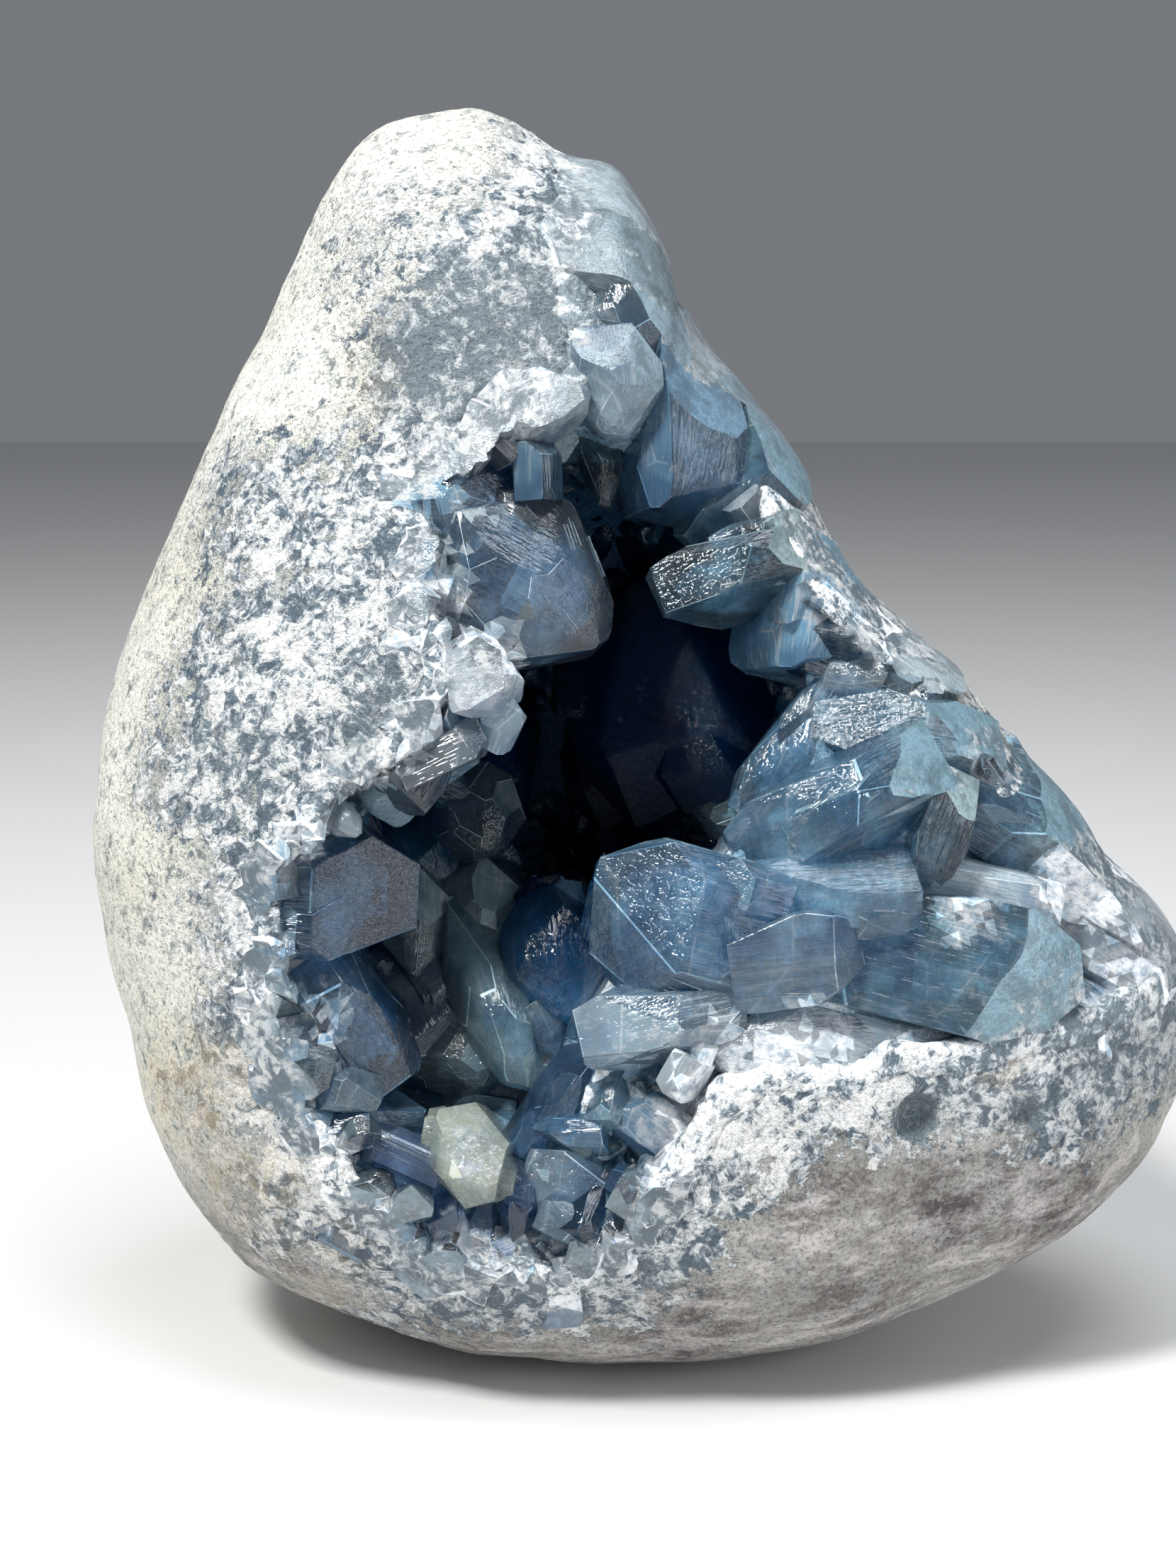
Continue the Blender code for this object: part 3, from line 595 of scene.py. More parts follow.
glass = {
    "ior": 1.62, "depthColour": (0.18, 0.55, 0.80), "density": 190.0,
    "streaks": 1.7, "streakStretch": (1.0, 1.0, 0.06), "clouds": 0.16, "cracks": 0.15, "sugar": 1.1,
    "lines": ((0.53, 0.0), (0.62, 1.0)), "crackLines": ((0.006, 1.0), (0.022, 0.0)),
    "veilPatches": ((0.42, 0.05), (0.60, 1.0)), "lightPatches": ((0.38, 0.0), (0.60, 1.0)), "streakShare": 0.85,
    "shadow": (0.45, 0.52, 0.62), "silk": (0.82, 0.91, 0.97), "silkGain": 1.7,
    "sugarColours": ((0.36, (0.36, 0.43, 0.50)), (0.48, (0.72, 0.76, 0.80)), (0.58, (0.92, 0.93, 0.94))),
    "veilRoughness": 0.25, "frostRoughness": 0.6, "bump": (0.5, 0.0005),
}


def crystalMaterial(name, transmission, veilStrength, roughBase, ior=glass["ior"]):
    tree = Shading(name)
    grain = tree.attribute("grain", "Vector")
    tint = tree.attribute("tint", "Color")
    streaks = tree.noise(tree.stretched(grain, glass["streakStretch"]), glass["streaks"], 3.0, 0.7)
    clouds = tree.noise(grain, glass["clouds"], 2.0, 0.6)
    fracture = tree.cells(grain, glass["cracks"], "DISTANCE_TO_EDGE")["Distance"]
    # silky streaks and cracks, in patches
    lines = tree.ramp(streaks, *glass["lines"])
    cracks = tree.ramp(fracture, *glass["crackLines"])
    patches = tree.ramp(clouds, *glass["veilPatches"])
    veil = tree.times(tree.times(lines, glass["streakShare"]), patches)
    veil = tree.times(tree.calc("MAXIMUM", veil, tree.times(cracks, patches)), veilStrength)
    dull = tree.mix(1.0, tint, glass["shadow"], "MULTIPLY")
    body = tree.mix(tree.ramp(clouds, *glass["lightPatches"]), dull, tint)
    # dark tints keep dark streaks, so the painted-shade navy crystals stay dark
    blue = tree.channel(tint, "Blue")
    bright = tree.calc("MINIMUM", tree.times(tree.times(blue, blue), glass["silkGain"]), 1.0)
    body = tree.mix(veil, body, tree.mix(bright, tint, glass["silk"]))
    grown = frostGrowth(tree, grain, tree.attribute("frost"), mm)
    sugar = tree.ramp(tree.noise(grain, glass["sugar"], 3.0, 0.7), *glass["sugarColours"])
    rough = tree.calc("ADD", tree.times(veil, glass["veilRoughness"]), roughBase)
    rough = tree.calc("MAXIMUM", rough, tree.times(grown, glass["frostRoughness"]))
    tree.surface({"Base Color": tree.mix(grown, body, sugar), "Roughness": rough, "IOR": ior,
                  "Transmission Weight": transmission})
    tree.bump(streaks, *glass["bump"])
    tree.absorb(glass["depthColour"], glass["density"])
    return tree.material


cutFace = {
    "wisps": 0.3, "underTint": (0.20, 0.25, 0.30), "tintShare": 0.3, "dim": 0.6, "transmission": 0.35,
    "shades": ((0.40, 0.6), (0.50, 0.85), (0.54, 1.05), (0.60, 0.8)), "shine": ((0.0, 0.14), (1.0, 0.55)),
    "bump": (0.6, 0.0006),
}


def groundMaterial():
    tree = Shading("celestite_ground")
    grain = tree.attribute("grain", "Vector")
    colour, _, _ = mottledRoots(tree, grain, cutFace["dim"], mm)
    wisps = tree.noise(grain, cutFace["wisps"], 5.0, 0.75)
    polished = tree.mix(cutFace["tintShare"], tree.attribute("tint", "Color"), cutFace["underTint"])
    polished = tree.mix(1.0, polished, tree.ramp(wisps, *cutFace["shades"]), "MULTIPLY")
    grown = frostGrowth(tree, grain, tree.attribute("frost"), mm)
    tree.surface({"Base Color": tree.mix(grown, polished, colour), "Roughness": tree.ramp(grown, *cutFace["shine"]),
                  "IOR": glass["ior"], "Transmission Weight": cutFace["transmission"]})
    tree.bump(wisps, *cutFace["bump"])
    tree.absorb(glass["depthColour"], glass["density"])
    return tree.material


# the places of the materials in every crystal's list
clear, milky, cloudy, frosted, ground, shaded = 0, 1, 2, 3, 4, 5
# name, transmission, veil, roughness
crystalMaterials = [
    crystalMaterial("celestite_clear", 0.95, 0.8, 0.025),
    crystalMaterial("celestite_milky", 0.85, 0.85, 0.05),
    crystalMaterial("celestite_cloudy", 0.6, 0.9, 0.15),
    crystalMaterial("celestite_frosted", 0.12, 1.0, 0.35),
    groundMaterial(),
    crystalMaterial("celestite_shaded", 0.95, 0.2, 0.02, 1.28),      # deep in the pocket it hardly mirrors
]

# each habit is a box from -1 to 1 cut by planes: direction, distance out; z is along the crystal
habits = {
    "chisel": [((0, 1, 1.0), 0.95), ((0, -1, 1.1), 1.0), ((1, 0, 0.9), 1.3), ((-1, 0, 0.7), 1.2),
               ((1, 1, 0), 1.5), ((-1, 1, 0), 1.6), ((1, -1, 0), 1.5), ((-1, -1, 0), 1.45)],
    "wedge": [((0.15, 1, 0.8), 0.95), ((0, -1, 1.3), 1.3), ((1, 0.1, 0.35), 1.05), ((-1, 0, 0.5), 1.2),
              ((1, 1, 0.1), 1.55), ((-1, 1, 0), 1.4)],
    "spear": [((1, 0.3, 0.8), 0.95), ((-1, 0.3, 0.9), 1.0), ((0.2, 1, 1.0), 1.0), ((-0.2, -1, 0.9), 0.95),
              ((1, 1, 0.1), 1.4), ((-1, 1, 0), 1.45), ((1, -1, 0), 1.4), ((-1, -1, 0.1), 1.35)],
    "block": [((0.2, 1, 0.2), 1.05), ((1, 0, 0.25), 1.1), ((-1, 0.1, 0.5), 1.25), ((0.3, 0.4, 1), 1.15),
              ((1, 1, 0), 1.6), ((-1, 1, 0.2), 1.55)],
    "hexagon": [((1, 0.58, 0), 1.0), ((-1, 0.58, 0), 1.05), ((1, -0.58, 0), 1.05), ((-1, -0.58, 0), 1.0),
                ((0.6, 0.2, 1), 1.25), ((-0.5, 0.6, 1), 1.35), ((0, -0.9, 1), 1.4)],
    "dome": [((1, 0, 0.5), 1.1), ((-1, 0, 0.6), 1.08), ((1, 0, 1.5), 1.6), ((-1, 0, 1.7), 1.7),
             ((0, 1, 1.0), 1.25), ((0, -1, 1.0), 1.2), ((1, 1, 0.3), 1.5), ((-1, 1, 0.4), 1.5),
             ((0.4, 0.8, 1.6), 1.65), ((-0.8, 0.9, 1.3), 1.7), ((1, -1, 0.3), 1.5), ((-1, -1, 0.3), 1.45)],
    "drop": [((1, 0.2, 0.25), 0.92), ((-1, 0.2, 0.25), 0.95), ((1, 0, 0.9), 1.15), ((-1, 0, 0.8), 1.15),
             ((0, 1, 0.7), 1.2), ((0, -1, 0.7), 1.2), ((1, 1, 0.4), 1.35), ((-1, 1, 0.4), 1.35),
             ((1, -1, 0.3), 1.35), ((-1, -1, 0.3), 1.35), ((0.5, 0.6, 2), 2.1), ((-0.6, 0.4, 2), 2.15)],
    "hexagon_end": [((1, 0.58, 0.1), 1.0), ((-1, 0.58, 0.1), 1.0), ((1, -0.58, 0.1), 1.0),
                    ((-1, -0.58, 0.1), 1.0), ((0.35, 0.1, 1), 1.1), ((-0.2, -0.7, 1), 1.3)],
    "tablet": [((0.1, 1, 0.05), 1.0), ((1, 0, 0.8), 1.4), ((-1, 0, 0.9), 1.3), ((0, 0.7, 1), 1.25),
               ((1, 0.2, -0.4), 1.15), ((0.2, 0, 1), 1.0)],
}
roundHabits = ("dome", "drop")

# the near-black navy tint is painted shade, given to crystals deep in the hollow
tints = {
    "steel": (0.25, 0.49, 0.68), "pale": (0.62, 0.75, 0.81), "green": (0.46, 0.66, 0.68), "lilac": (0.30, 0.43, 0.64),
    "slate": (0.17, 0.32, 0.46), "deep": (0.06, 0.32, 0.56), "shadeNavy": (0.006, 0.085, 0.23), "teal": (0.31, 0.55, 0.68),
    "frost": (0.76, 0.83, 0.88), "straw": (0.53, 0.57, 0.47), "ash": (0.25, 0.34, 0.38), "grey": (0.38, 0.53, 0.63),
    "dusty": (0.56, 0.64, 0.69), "blue": (0.25, 0.48, 0.66),
}
evenTints = ("shadeNavy", "deep", "straw")         # these keep one clarity on all faces

# habit, x, y, z, length, width, thickness, heading, lean, roll, tint, clarity
crystals = {
    "summit_edge": ("block", 2.0, -8, 58.5, 14, 8, 12, -62, 10, 0, "pale", cloudy),
    "brow_cap": ("dome", 2.6, -14, 52.6, 17, 12, 14, -38, 10, 10, "ash", cloudy),
    "brow_below": ("dome", 4.8, -15, 46.4, 16, 10, 11, -60, 12, 20, "grey", milky),
    "brow_blue": ("dome", 2.4, -20, 40.2, 12, 10, 9, -86, 12, 0, "grey", cloudy),
    "rim_top": ("block", 7.6, -12, 43.0, 14, 6.5, 12, -57, 0, 15, "dusty", milky),
    "ground_edge": ("wedge", 13.5, -8, 38.5, 18, 8, 14, -52, 0, 20, "grey", cloudy),
    "brow_lip": ("dome", -5.4, -23, 37.6, 12, 8, 8, 8, 20, 0, "dusty", cloudy),
    "brow_shadow": ("chisel", -7.5, -19, 33.5, 14, 5.5, 8, 8, 10, 20, "steel", milky),
    "lilac_wall": ("block", 9.4, -15, 35.0, 17, 11, 12, -95, 5, -15, "slate", milky),
    "streaked_wall": ("wedge", 16.0, -13, 29.5, 17, 10, 12, 236, 12, -25, "teal", milky),
    "green_ledge": ("wedge", 14.5, -19, 21.0, 17, 6.5, 10, 196, 20, 20, "green", clear),
    "pitted_wall": ("block", 22.0, -14, 17.8, 14, 10, 12, -100, 5, -20, "steel", cloudy),
    "white_edge": ("tablet", 27.5, -9, 17.8, 15, 5, 10, -47, 5, 15, "pale", cloudy),
    "pale_dome": ("dome", 29.8, -15, 10.8, 17, 9, 11, 184, 15, 0, "pale", milky),
    "cracked_blue": ("chisel", 31.5, -18, 4.6, 20, 7.5, 10, 170, 12, 15, "teal", milky),
    "shaded_wall": ("chisel", 20.5, -16, 1.8, 17, 8, 10, 232, 20, 0, "steel", milky),
    "teal_shoulder": ("wedge", 25.0, -21.5, -2.8, 22, 10, 12, 209, 8, 25, "teal", milky),
    "teal_foot": ("wedge", 23.0, -22.5, -10.5, 18, 8, 11, 184, 8, -15, "teal", milky),
    "pale_slab": ("tablet", 34.8, -21.5, -4.6, 12, 5.5, 7, -112, 5, -10, "green", clear),
    "right_slope": ("wedge", 44.0, -14.5, -5.2, 22, 9.5, 13, -32, 5, 30, "teal", milky),
    "hollow_rim": ("block", 40.5, -18, -10.5, 14, 5, 8, -14, 5, 10, "pale", cloudy),
    "far_right": ("block", 52.0, -8, -15.0, 18, 11, 16, -38, 5, 10, "dusty", cloudy),
    "wide_blue": ("tablet", 37.0, -19.5, -18.5, 25, 13.5, 12, -14, 4, -8, "teal", milky),
    "keystone": ("chisel", 8.6, -22.5, -14.0, 19, 16, 12, 164, 10, 0, "blue", milky),
    "window": ("tablet", 20.8, -24, -17.0, 13, 9, 9, 8, 4, 5, "grey", milky),
    "narrow": ("block", 14.2, -24, -15.5, 10, 6, 8, -78, 12, 25, "steel", milky),
    "fan": ("wedge", 6.8, -24, -23.8, 16, 8, 9, 192, 12, 15, "grey", milky),
    "frosted": ("dome", 20.3, -23, -26.2, 17, 10.5, 9, 184, 12, 0, "dusty", cloudy),
    "lower_blue": ("wedge", 33.0, -20.5, -27.0, 18, 8.5, 9, -14, 5, 0, "grey", cloudy),
    "right_foot": ("block", 46.5, -16, -22.0, 14, 6, 9, -24, 5, 15, "steel", cloudy),
    "navy_face": ("hexagon", 9.5, 5, 7.0, 22, 25, 22, 150, 72, 20, "shadeNavy", clear),
    "navy_side": ("chisel", 1.5, 5, 12.0, 20, 9, 9, 250, 50, 10, "shadeNavy", clear),
    "green_root": ("dome", -11.5, -2, -13.0, 18, 11, 9, -80, 55, 0, "green", milky),
    "green_drop": ("drop", -10.0, -9, -20.5, 25, 9, 9, -66, 38, 0, "green", milky),
    "blue_ring": ("dome", -3.2, -11, -17.6, 14, 10.5, 10, -80, 35, 0, "deep", clear),
    "small_blue": ("spear", 2.0, -14, -11.0, 9, 4, 4, 78, 15, 0, "deep", clear),
    "deep_tip": ("chisel", -9.5, 1, 0.5, 18, 7, 7, -98, 48, 20, "shadeNavy", clear),
    "deep_fan": ("wedge", -13.0, -6, -30.0, 18, 7, 9, -8, 25, 10, "steel", milky),
    "deep_left": ("block", -17.5, 2, -5.5, 14, 8, 8, -60, 40, 0, "deep", milky),
    "pocket_lens": ("dome", -11.0, -5, -3.5, 11, 9, 8, -70, 55, 0, "green", clear),
    "pocket_green": ("dome", -17.5, -4, -13.5, 15, 9, 9, -80, 40, 0, "green", milky),
    "pocket_grey": ("block", -16.5, -6, -23.0, 13, 9, 9, -60, 40, 0, "grey", milky),
    "pocket_foot": ("dome", -13.5, -9, -27.5, 12, 8, 8, -20, 40, 0, "green", milky),
    "left_block": ("chisel", -26.0, -20, -10.4, 19, 12.5, 11, -3, 6, 0, "slate", clear),
    "left_lower": ("wedge", -25.0, -19, -23.5, 18, 11, 10, -52, 12, 0, "slate", clear),
    "left_tip": ("dome", -26.0, -23, -29.0, 7, 3.5, 5, -85, 15, 0, "pale", clear),
    "left_bud": ("spear", -31.0, -21, -27.5, 7, 3.5, 5, -75, 15, 0, "pale", clear),
    "left_ledge": ("wedge", -19.5, -18, 2.6, 17, 6, 9, 3, 8, 30, "steel", milky),
    "glass_dome": ("dome", -8.4, -20, 20.6, 24, 19, 14, -30, 12, 0, "pale", clear),
    "hexagon_tip": ("hexagon", -11.2, -26.5, 10.6, 9, 7.5, 7.5, -56, 62, 0, "frost", cloudy),
    "upper_pair": ("chisel", -12.8, -22, 28.5, 14, 7.5, 9, -4, 12, 20, "steel", clear),
    "upper_bud": ("spear", -6.4, -23, 26.0, 8, 4.5, 5, -30, 25, 0, "pale", clear),
    "low_bud": ("dome", -14.2, -24, 12.2, 6, 4.5, 6, -82, 20, 0, "grey", clear),
    "lower_left": ("wedge", -23.2, -18, -34.3, 14, 6.5, 9, -4, 12, 15, "steel", milky),
    "lower_left_blue": ("block", -20.8, -18, -40.2, 12, 9.5, 9, 62, 20, 0, "slate", milky),
    "pale_hexagon": ("hexagon_end", -11.8, -19.5, -37.3, 15, 9.3, 9.3, 96, 80, 8, "straw", cloudy),
    "lilac": ("block", -15.0, -19, -44.2, 9, 4.5, 8, 95, 25, 20, "lilac", milky),
    "lilac_small": ("spear", -10.6, -20, -44.2, 8, 4.5, 7, 80, 25, 0, "lilac", milky),
    "lens": ("dome", -6.6, -21, -42.0, 9, 4.5, 6, 100, 20, 0, "lilac", clear),
    "blue_glass": ("wedge", 0.2, -20, -42.0, 15, 9, 10, 158, 15, 10, "grey", milky),
    "dark_spear": ("spear", -1.2, -18, -31.6, 15, 8, 8, 58, 20, 20, "slate", milky),
    "between": ("wedge", 4.8, -21, -33.0, 11, 5.5, 8, 128, 15, 10, "grey", cloudy),
    "foot": ("block", -3.0, -18, -48.4, 9, 5, 9, 90, 30, 10, "lilac", cloudy),
}

growth = {
    "seed": 5, "variants": 3, "chips": 7, "chipDepth": (0.06, 0.22), "weld": 0.004, "edgeBevel": 0.014,
    "bevelAngle": 0.30, "roundingCuts": 34, "roundness": 2.4, "roundReach": (0.95, 1.0), "pureShare": 0.9,
    "shades": 0.15, "grow": 1.02,
    "sides": 4, "fullWidth": 9, "sideSize": (0.35, 0.62), "sideAlong": (-1, 0.9), "sideOut": (0.9, 1.22),
    "sideTurn": 6, "sideWidth": (0.7, 1.1), "sideLength": (0.8, 1.2),
    "single": ("keystone", "wide_blue", "left_block", "window", "lilac_wall", "teal_shoulder", "fan"),
}


def unitCrystal(name, faces, draw):
    bpy.ops.mesh.primitive_cube_add(size=2.0)
    crystal = bpy.context.object
    crystal.name = name
    bpy.ops.object.mode_set(mode="EDIT")

    def cut(normal, out):
        bpy.ops.mesh.select_all(action="SELECT")
        bpy.ops.mesh.bisect(plane_co=normal * (out / normal.length_squared), plane_no=normal, use_fill=True,
                            clear_outer=True)

    for direction, out in faces:
        cut(Vector(direction), out)
    if name.startswith(roundHabits):
        for _ in range(growth["roundingCuts"]):
            normal = Vector((draw.gauss(0, 1), draw.gauss(0, 1), draw.gauss(0.3, 1))).normalized()
            reach = sum(abs(part) ** growth["roundness"] for part in normal) ** (1 / growth["roundness"])
            cut(normal, reach * draw.uniform(*growth["roundReach"]))
    else:
        for _ in range(growth["chips"]):
            normal = Vector((draw.uniform(-1, 1), draw.uniform(-1, 1), draw.uniform(-0.5, 1))).normalized()
            farthest = max(v.co.dot(normal) for v in bmesh.from_edit_mesh(crystal.data).verts)
            cut(normal, farthest - draw.uniform(*growth["chipDepth"]))
    bpy.ops.mesh.select_all(action="SELECT")
    bpy.ops.mesh.remove_doubles(threshold=growth["weld"])
    bpy.ops.mesh.normals_make_consistent(inside=False)
    bpy.ops.object.mode_set(mode="OBJECT")
    crystal.data.materials.append(None)
    crystal.data.materials.append(None)       # the second place marks the bevels
    applyModifier(crystal, "BEVEL", width=growth["edgeBevel"], segments=1, limit_method="ANGLE",
                  angle_limit=growth["bevelAngle"], use_clamp_overlap=True, material=1)
    return crystal


def crystalFrame(place, size, heading, tilt, roll):
    length, width, thickness = size
    turn, rise = math.radians(heading), math.radians(tilt)
    inFace = Vector((math.cos(turn), 0, math.sin(turn)))
    along = inFace * math.cos(rise) + Vector((0, -1, 0)) * math.sin(rise)
    across = Matrix.Rotation(math.radians(roll), 3, along) @ Vector((-math.sin(turn), 0, math.cos(turn)))
    through = along.cross(across)
    axes = Matrix((across * width / 2, through * thickness / 2, along * length / 2)).transposed()
    return Matrix.Translation(place) @ axes.to_4x4()


def dress(mesh, tint, clarities, scale=(1, 1, 1), offset=(0, 0, 0), shade=1.0):
    # grain: where a point lies in its own crystal, in millimetres
    points = np.zeros(len(mesh.vertices) * 3)
    mesh.vertices.foreach_get("co", points)
    corners = np.zeros(len(mesh.loops), np.int32)
    mesh.loops.foreach_get("vertex_index", corners)
    local = points.reshape(-1, 3)[corners] * np.array(scale) + np.array(offset)
    mesh.attributes.new("grain", "FLOAT_VECTOR", "CORNER").data.foreach_set("vector", local.ravel())
    colour = [min(1.0, c * shade) for c in tints[tint]] + [1.0]
    mesh.attributes.new("tint", "FLOAT_COLOR", "CORNER").data.foreach_set("color", colour * len(mesh.loops))
    mesh.materials.clear()
    for material in crystalMaterials:
        mesh.materials.append(material)
    mesh.polygons.foreach_set("material_index", clarities)


def plant(name, model, placing, tint, clarity, draw):
    mesh = model.data.copy()
    halves = [placing.col[i].to_3d().length for i in range(3)]
    offset = [draw.uniform(-50, 50) for _ in range(3)]
    # the painted-shade navy crystals take the shaded material, which hardly mirrors
    clarity = shaded if tint == "shadeNavy" else clarity

    def clarityOf(face):
        if tint in evenTints:
            return clarity
        # bevel faces turn cloudy or frosted now and then: whiter edges, partly chipped frost and partly painted
        # highlight
        if face.material_index == 1:
            return draw.choice((cloudy, cloudy, frosted, clarity, clarity, clarity))
        return clarity if draw.random() < growth["pureShare"] else min(clarity + 1, cloudy)

    clarities = [clarityOf(face) for face in mesh.polygons]
    dress(mesh, tint, clarities, halves, offset, 1 + draw.uniform(-growth["shades"], growth["shades"]))
    mesh.transform(placing)
    cluster.objects.link(bpy.data.objects.new(name, mesh))


draw = random.Random(growth["seed"])
models = {}
for habit, faces in habits.items():
    models[habit] = [unitCrystal(f"{habit}{i}", faces, draw) for i in range(growth["variants"])]
print("crystal habits done")

cluster = bpy.data.collections.new("cluster")
bpy.context.scene.collection.children.link(cluster)

for name, (habit, x, y, z, length, width, thickness, heading, tilt, roll, tint, clarity) in crystals.items():
    spread = (1 + y / standing["eyeDistance"]) * growth["grow"]
    placing = crystalFrame(sighted(x, y, z), (length * spread, width * spread, thickness), heading, tilt, roll)
    plant(name, draw.choice(models[habit]), placing, tint, clarity, draw)
    sides = 1 if name in growth["single"] else int(growth["sides"] * min(1.0, width / growth["fullWidth"]))
    for i in range(0 if habit in roundHabits else sides):
        size = draw.uniform(*growth["sideSize"])
        shift = Vector((draw.choice((-1, 1)), draw.choice((-1, 1)), draw.uniform(*growth["sideAlong"]))) * (1 - size)
        shift.x *= draw.uniform(*growth["sideOut"])
        shift.y *= draw.uniform(*growth["sideOut"])
        turn = Matrix.Rotation(math.radians(draw.uniform(-growth["sideTurn"], growth["sideTurn"])), 4, "X")
        scale = Matrix.Diagonal((size * draw.uniform(*growth["sideWidth"]), size,
                                 size * draw.uniform(*growth["sideLength"]), 1))
        plant(f"{name}{i}", draw.choice(models[habit]), placing @ Matrix.Translation(shift) @ turn @ scale, tint,
              clarity, draw)

# the dark pocket at the hollow's left, laid out in the same way
pocket = {
    "middle": (-2.0, -5.0), "back": 14.0, "points": 120,
    "edge": [
        (-5, 35), (4, 36), (9, 30), (15, 22), (21, 14), (23, 5), (16, -4), (7, -9), (1, -20), (-2, -31),
        (-6, -39), (-15, -41), (-23, -37), (-26, -28), (-25, -16), (-24, -4), (-19, 3), (-13, 9), (-11, 20),
        (-12, 30),
    ],
    "rings": [(-60, 1.12), (-26, 1.0), (-14, 0.93), (-4, 0.84), (4, 0.7), (9, 0.5), (12.5, 0.25)],
}

# seeded crystals on the pocket's wall, which lean more to the eye the deeper they are
wall = {
    "seed": 11, "count": 24, "kinds": ("chisel", "wedge", "spear", "block", "dome"), "depth": (-14.0, 11.0),
    "length": (8.0, 13.0), "width": (4.0, 7.0), "slimness": (0.7, 1.0), "swing": 35.0, "tilt": (-5.0, 30.0),
    "deepTilt": 45.0, "shadeNavyFrom": 2, "tints": ("deep", "steel", "green", "teal"),
}


def pocketReach(depth):
    levels = pocket["rings"]
    for (near, nearReach), (far, farReach) in zip(levels, levels[1:]):
        if near <= depth <= far:
            return nearReach + (farReach - nearReach) * (depth - near) / (far - near)
    return levels[-1][1]


def growWall():
    some = random.Random(wall["seed"])
    loop = smoothLoop(pocket["edge"], pocket["points"])
    centre = Vector(pocket["middle"])
    for i in range(wall["count"]):
        edge = loop[some.randrange(len(loop))]
        depth = some.uniform(*wall["depth"])
        flat = centre + (edge - centre) * pocketReach(depth)
        inward = centre - flat
        heading = math.degrees(math.atan2(inward.y, inward.x)) + some.uniform(-wall["swing"], wall["swing"])
        tilt = some.uniform(*wall["tilt"]) + wall["deepTilt"] * max(0.0, depth / pocket["back"])
        length = some.uniform(*wall["length"])
        width = some.uniform(*wall["width"])
        size = (length, width, width * some.uniform(*wall["slimness"]))
        placing = crystalFrame(sighted(flat.x, depth, flat.y), size, heading, tilt, some.uniform(0, 90))
        kind = some.choice(wall["kinds"])
        # painted shade: the deeper wall crystals take the near-black navy tint
        tint = "shadeNavy" if depth > wall["shadeNavyFrom"] else draw.choice(wall["tints"])
        plant(f"wall{i}", draw.choice(models[kind]), placing, tint, clear, draw)


growWall()

# the massive heart under the crystals: a softened copy of the solid crust that keeps its outer side,
# with a ragged collar round the mouth, flush with the ground face
heart = {
    "weld": 0.001, "voxel": 0.9, "shrink": 2.0, "free": (0.5, 2.5),
    "collarGrow": 0.9, "collarRise": 0.1, "collarWidth": 2.4, "innerVoxel": 1.2, "ragged": 5.0, "raggedSize": 3.5,
    # the heart's painted shade starts at the first depth and is full over the span that follows
    "shadeFrom": -13.0, "deep": 9.0, "skin": 4.0, "edgeFrost": (7.0, 1.6), "lit": (2, -10),
}


def makeHeart():
    source = frame["nodes"]["crystal_crust"]
    bed = source.copy()
    bed.data = source.data.copy()
    bed.parent = None
    bed.name = "celestite_heart"
    for key in list(bed.keys()):
        del bed[key]
    bpy.context.scene.collection.objects.link(bed)
    bed.data.transform(faceToRow.inverted() @ rowScale.inverted())
    makeActive(bed)
    bpy.ops.object.mode_set(mode="EDIT")
    bpy.ops.mesh.select_all(action="SELECT")
    bpy.ops.mesh.remove_doubles(threshold=heart["weld"])
    bpy.ops.object.mode_set(mode="OBJECT")
    applyModifier(bed, "REMESH", mode="VOXEL", voxel_size=heart["voxel"])
    bowl = hollowForm("bowl")
    bowlTree = treeOf([bowl])
    bpy.data.objects.remove(bowl)
    free = bed.vertex_groups.new(name="free")
    for v in bed.data.vertices:
        free.add([v.index], fade(bowlTree.find_nearest(v.co)[3], *heart["free"]), "REPLACE")
    applyModifier(bed, "DISPLACE", strength=-heart["shrink"], mid_level=0.0, vertex_group="free")

    collar = hollowForm("collar", -heart["collarGrow"])
    combine(collar, "INTERSECT", stoneForm("flush", heart["collarRise"]))
    inner = hollowForm("inner", heart["collarWidth"])
    applyModifier(inner, "REMESH", mode="VOXEL", voxel_size=heart["innerVoxel"])
    applyModifier(inner, "DISPLACE", texture=displaceTexture("ragged", "CLOUDS", heart["raggedSize"], noise_depth=3),
                  texture_coords="LOCAL", strength=heart["ragged"], mid_level=0.5)
    combine(collar, "DIFFERENCE", inner)
    makeActive(bed)
    collar.select_set(True)
    bpy.ops.object.join()
    applyModifier(bed, "REMESH", mode="VOXEL", voxel_size=heart["voxel"])
    print("heart done", len(bed.data.polygons))
    return bed


bed = makeHeart()

# small crystals in the gaps and round the rim
druse = {
    "seed": 21, "tries": 6000, "area": ((-36, 60), (-52, 66)), "gaps": 200, "rim": 80, "calm": 0.25, "overBed": 0.4,
    "gapLength": (3.5, 8.0), "gapWidth": (2.4, 5.2), "gapSink": 0.22, "shadeFrom": -8, "rimBand": 7,
    "gapRise": 0.5, "gapLie": (-0.8, 0.5), "milkyShare": 0.8, "slimness": (0.6, 1.0),
    "rimInset": (1.5, 8.0), "rimLength": (4.0, 9.0), "rimWidth": (3.0, 6.0), "rimSink": (0.6, 1.2),
    "rimRise": 0.3, "rimLie": (-0.6, 0.6), "clearance": 0.6, "lowFrom": -32,
}
# no small crystals here, because the large ones lie open: x, z, reach, amount
calmSpots = [
    (4, 43, 13, 1.0), (20, -30, 13, 1.0), (34, -29, 11, 1.0), (8.6, -14, 9, 1.0), (37, -18, 14, 1.0),
    (25, -3, 11, 1.0), (-8, 20, 9, 1.0), (48, -22, 10, 1.0), (-26, -10, 7, 1.0), (-25, -22, 7, 1.0),
    (-12, -38, 6, 1.0),
]


def planesOf(crystal):
    return [(face.center.copy(), face.normal.copy()) for face in crystal.data.polygons]


def within(planes, p):
    return all((p - middle).dot(normal) < 0 for middle, normal in planes)


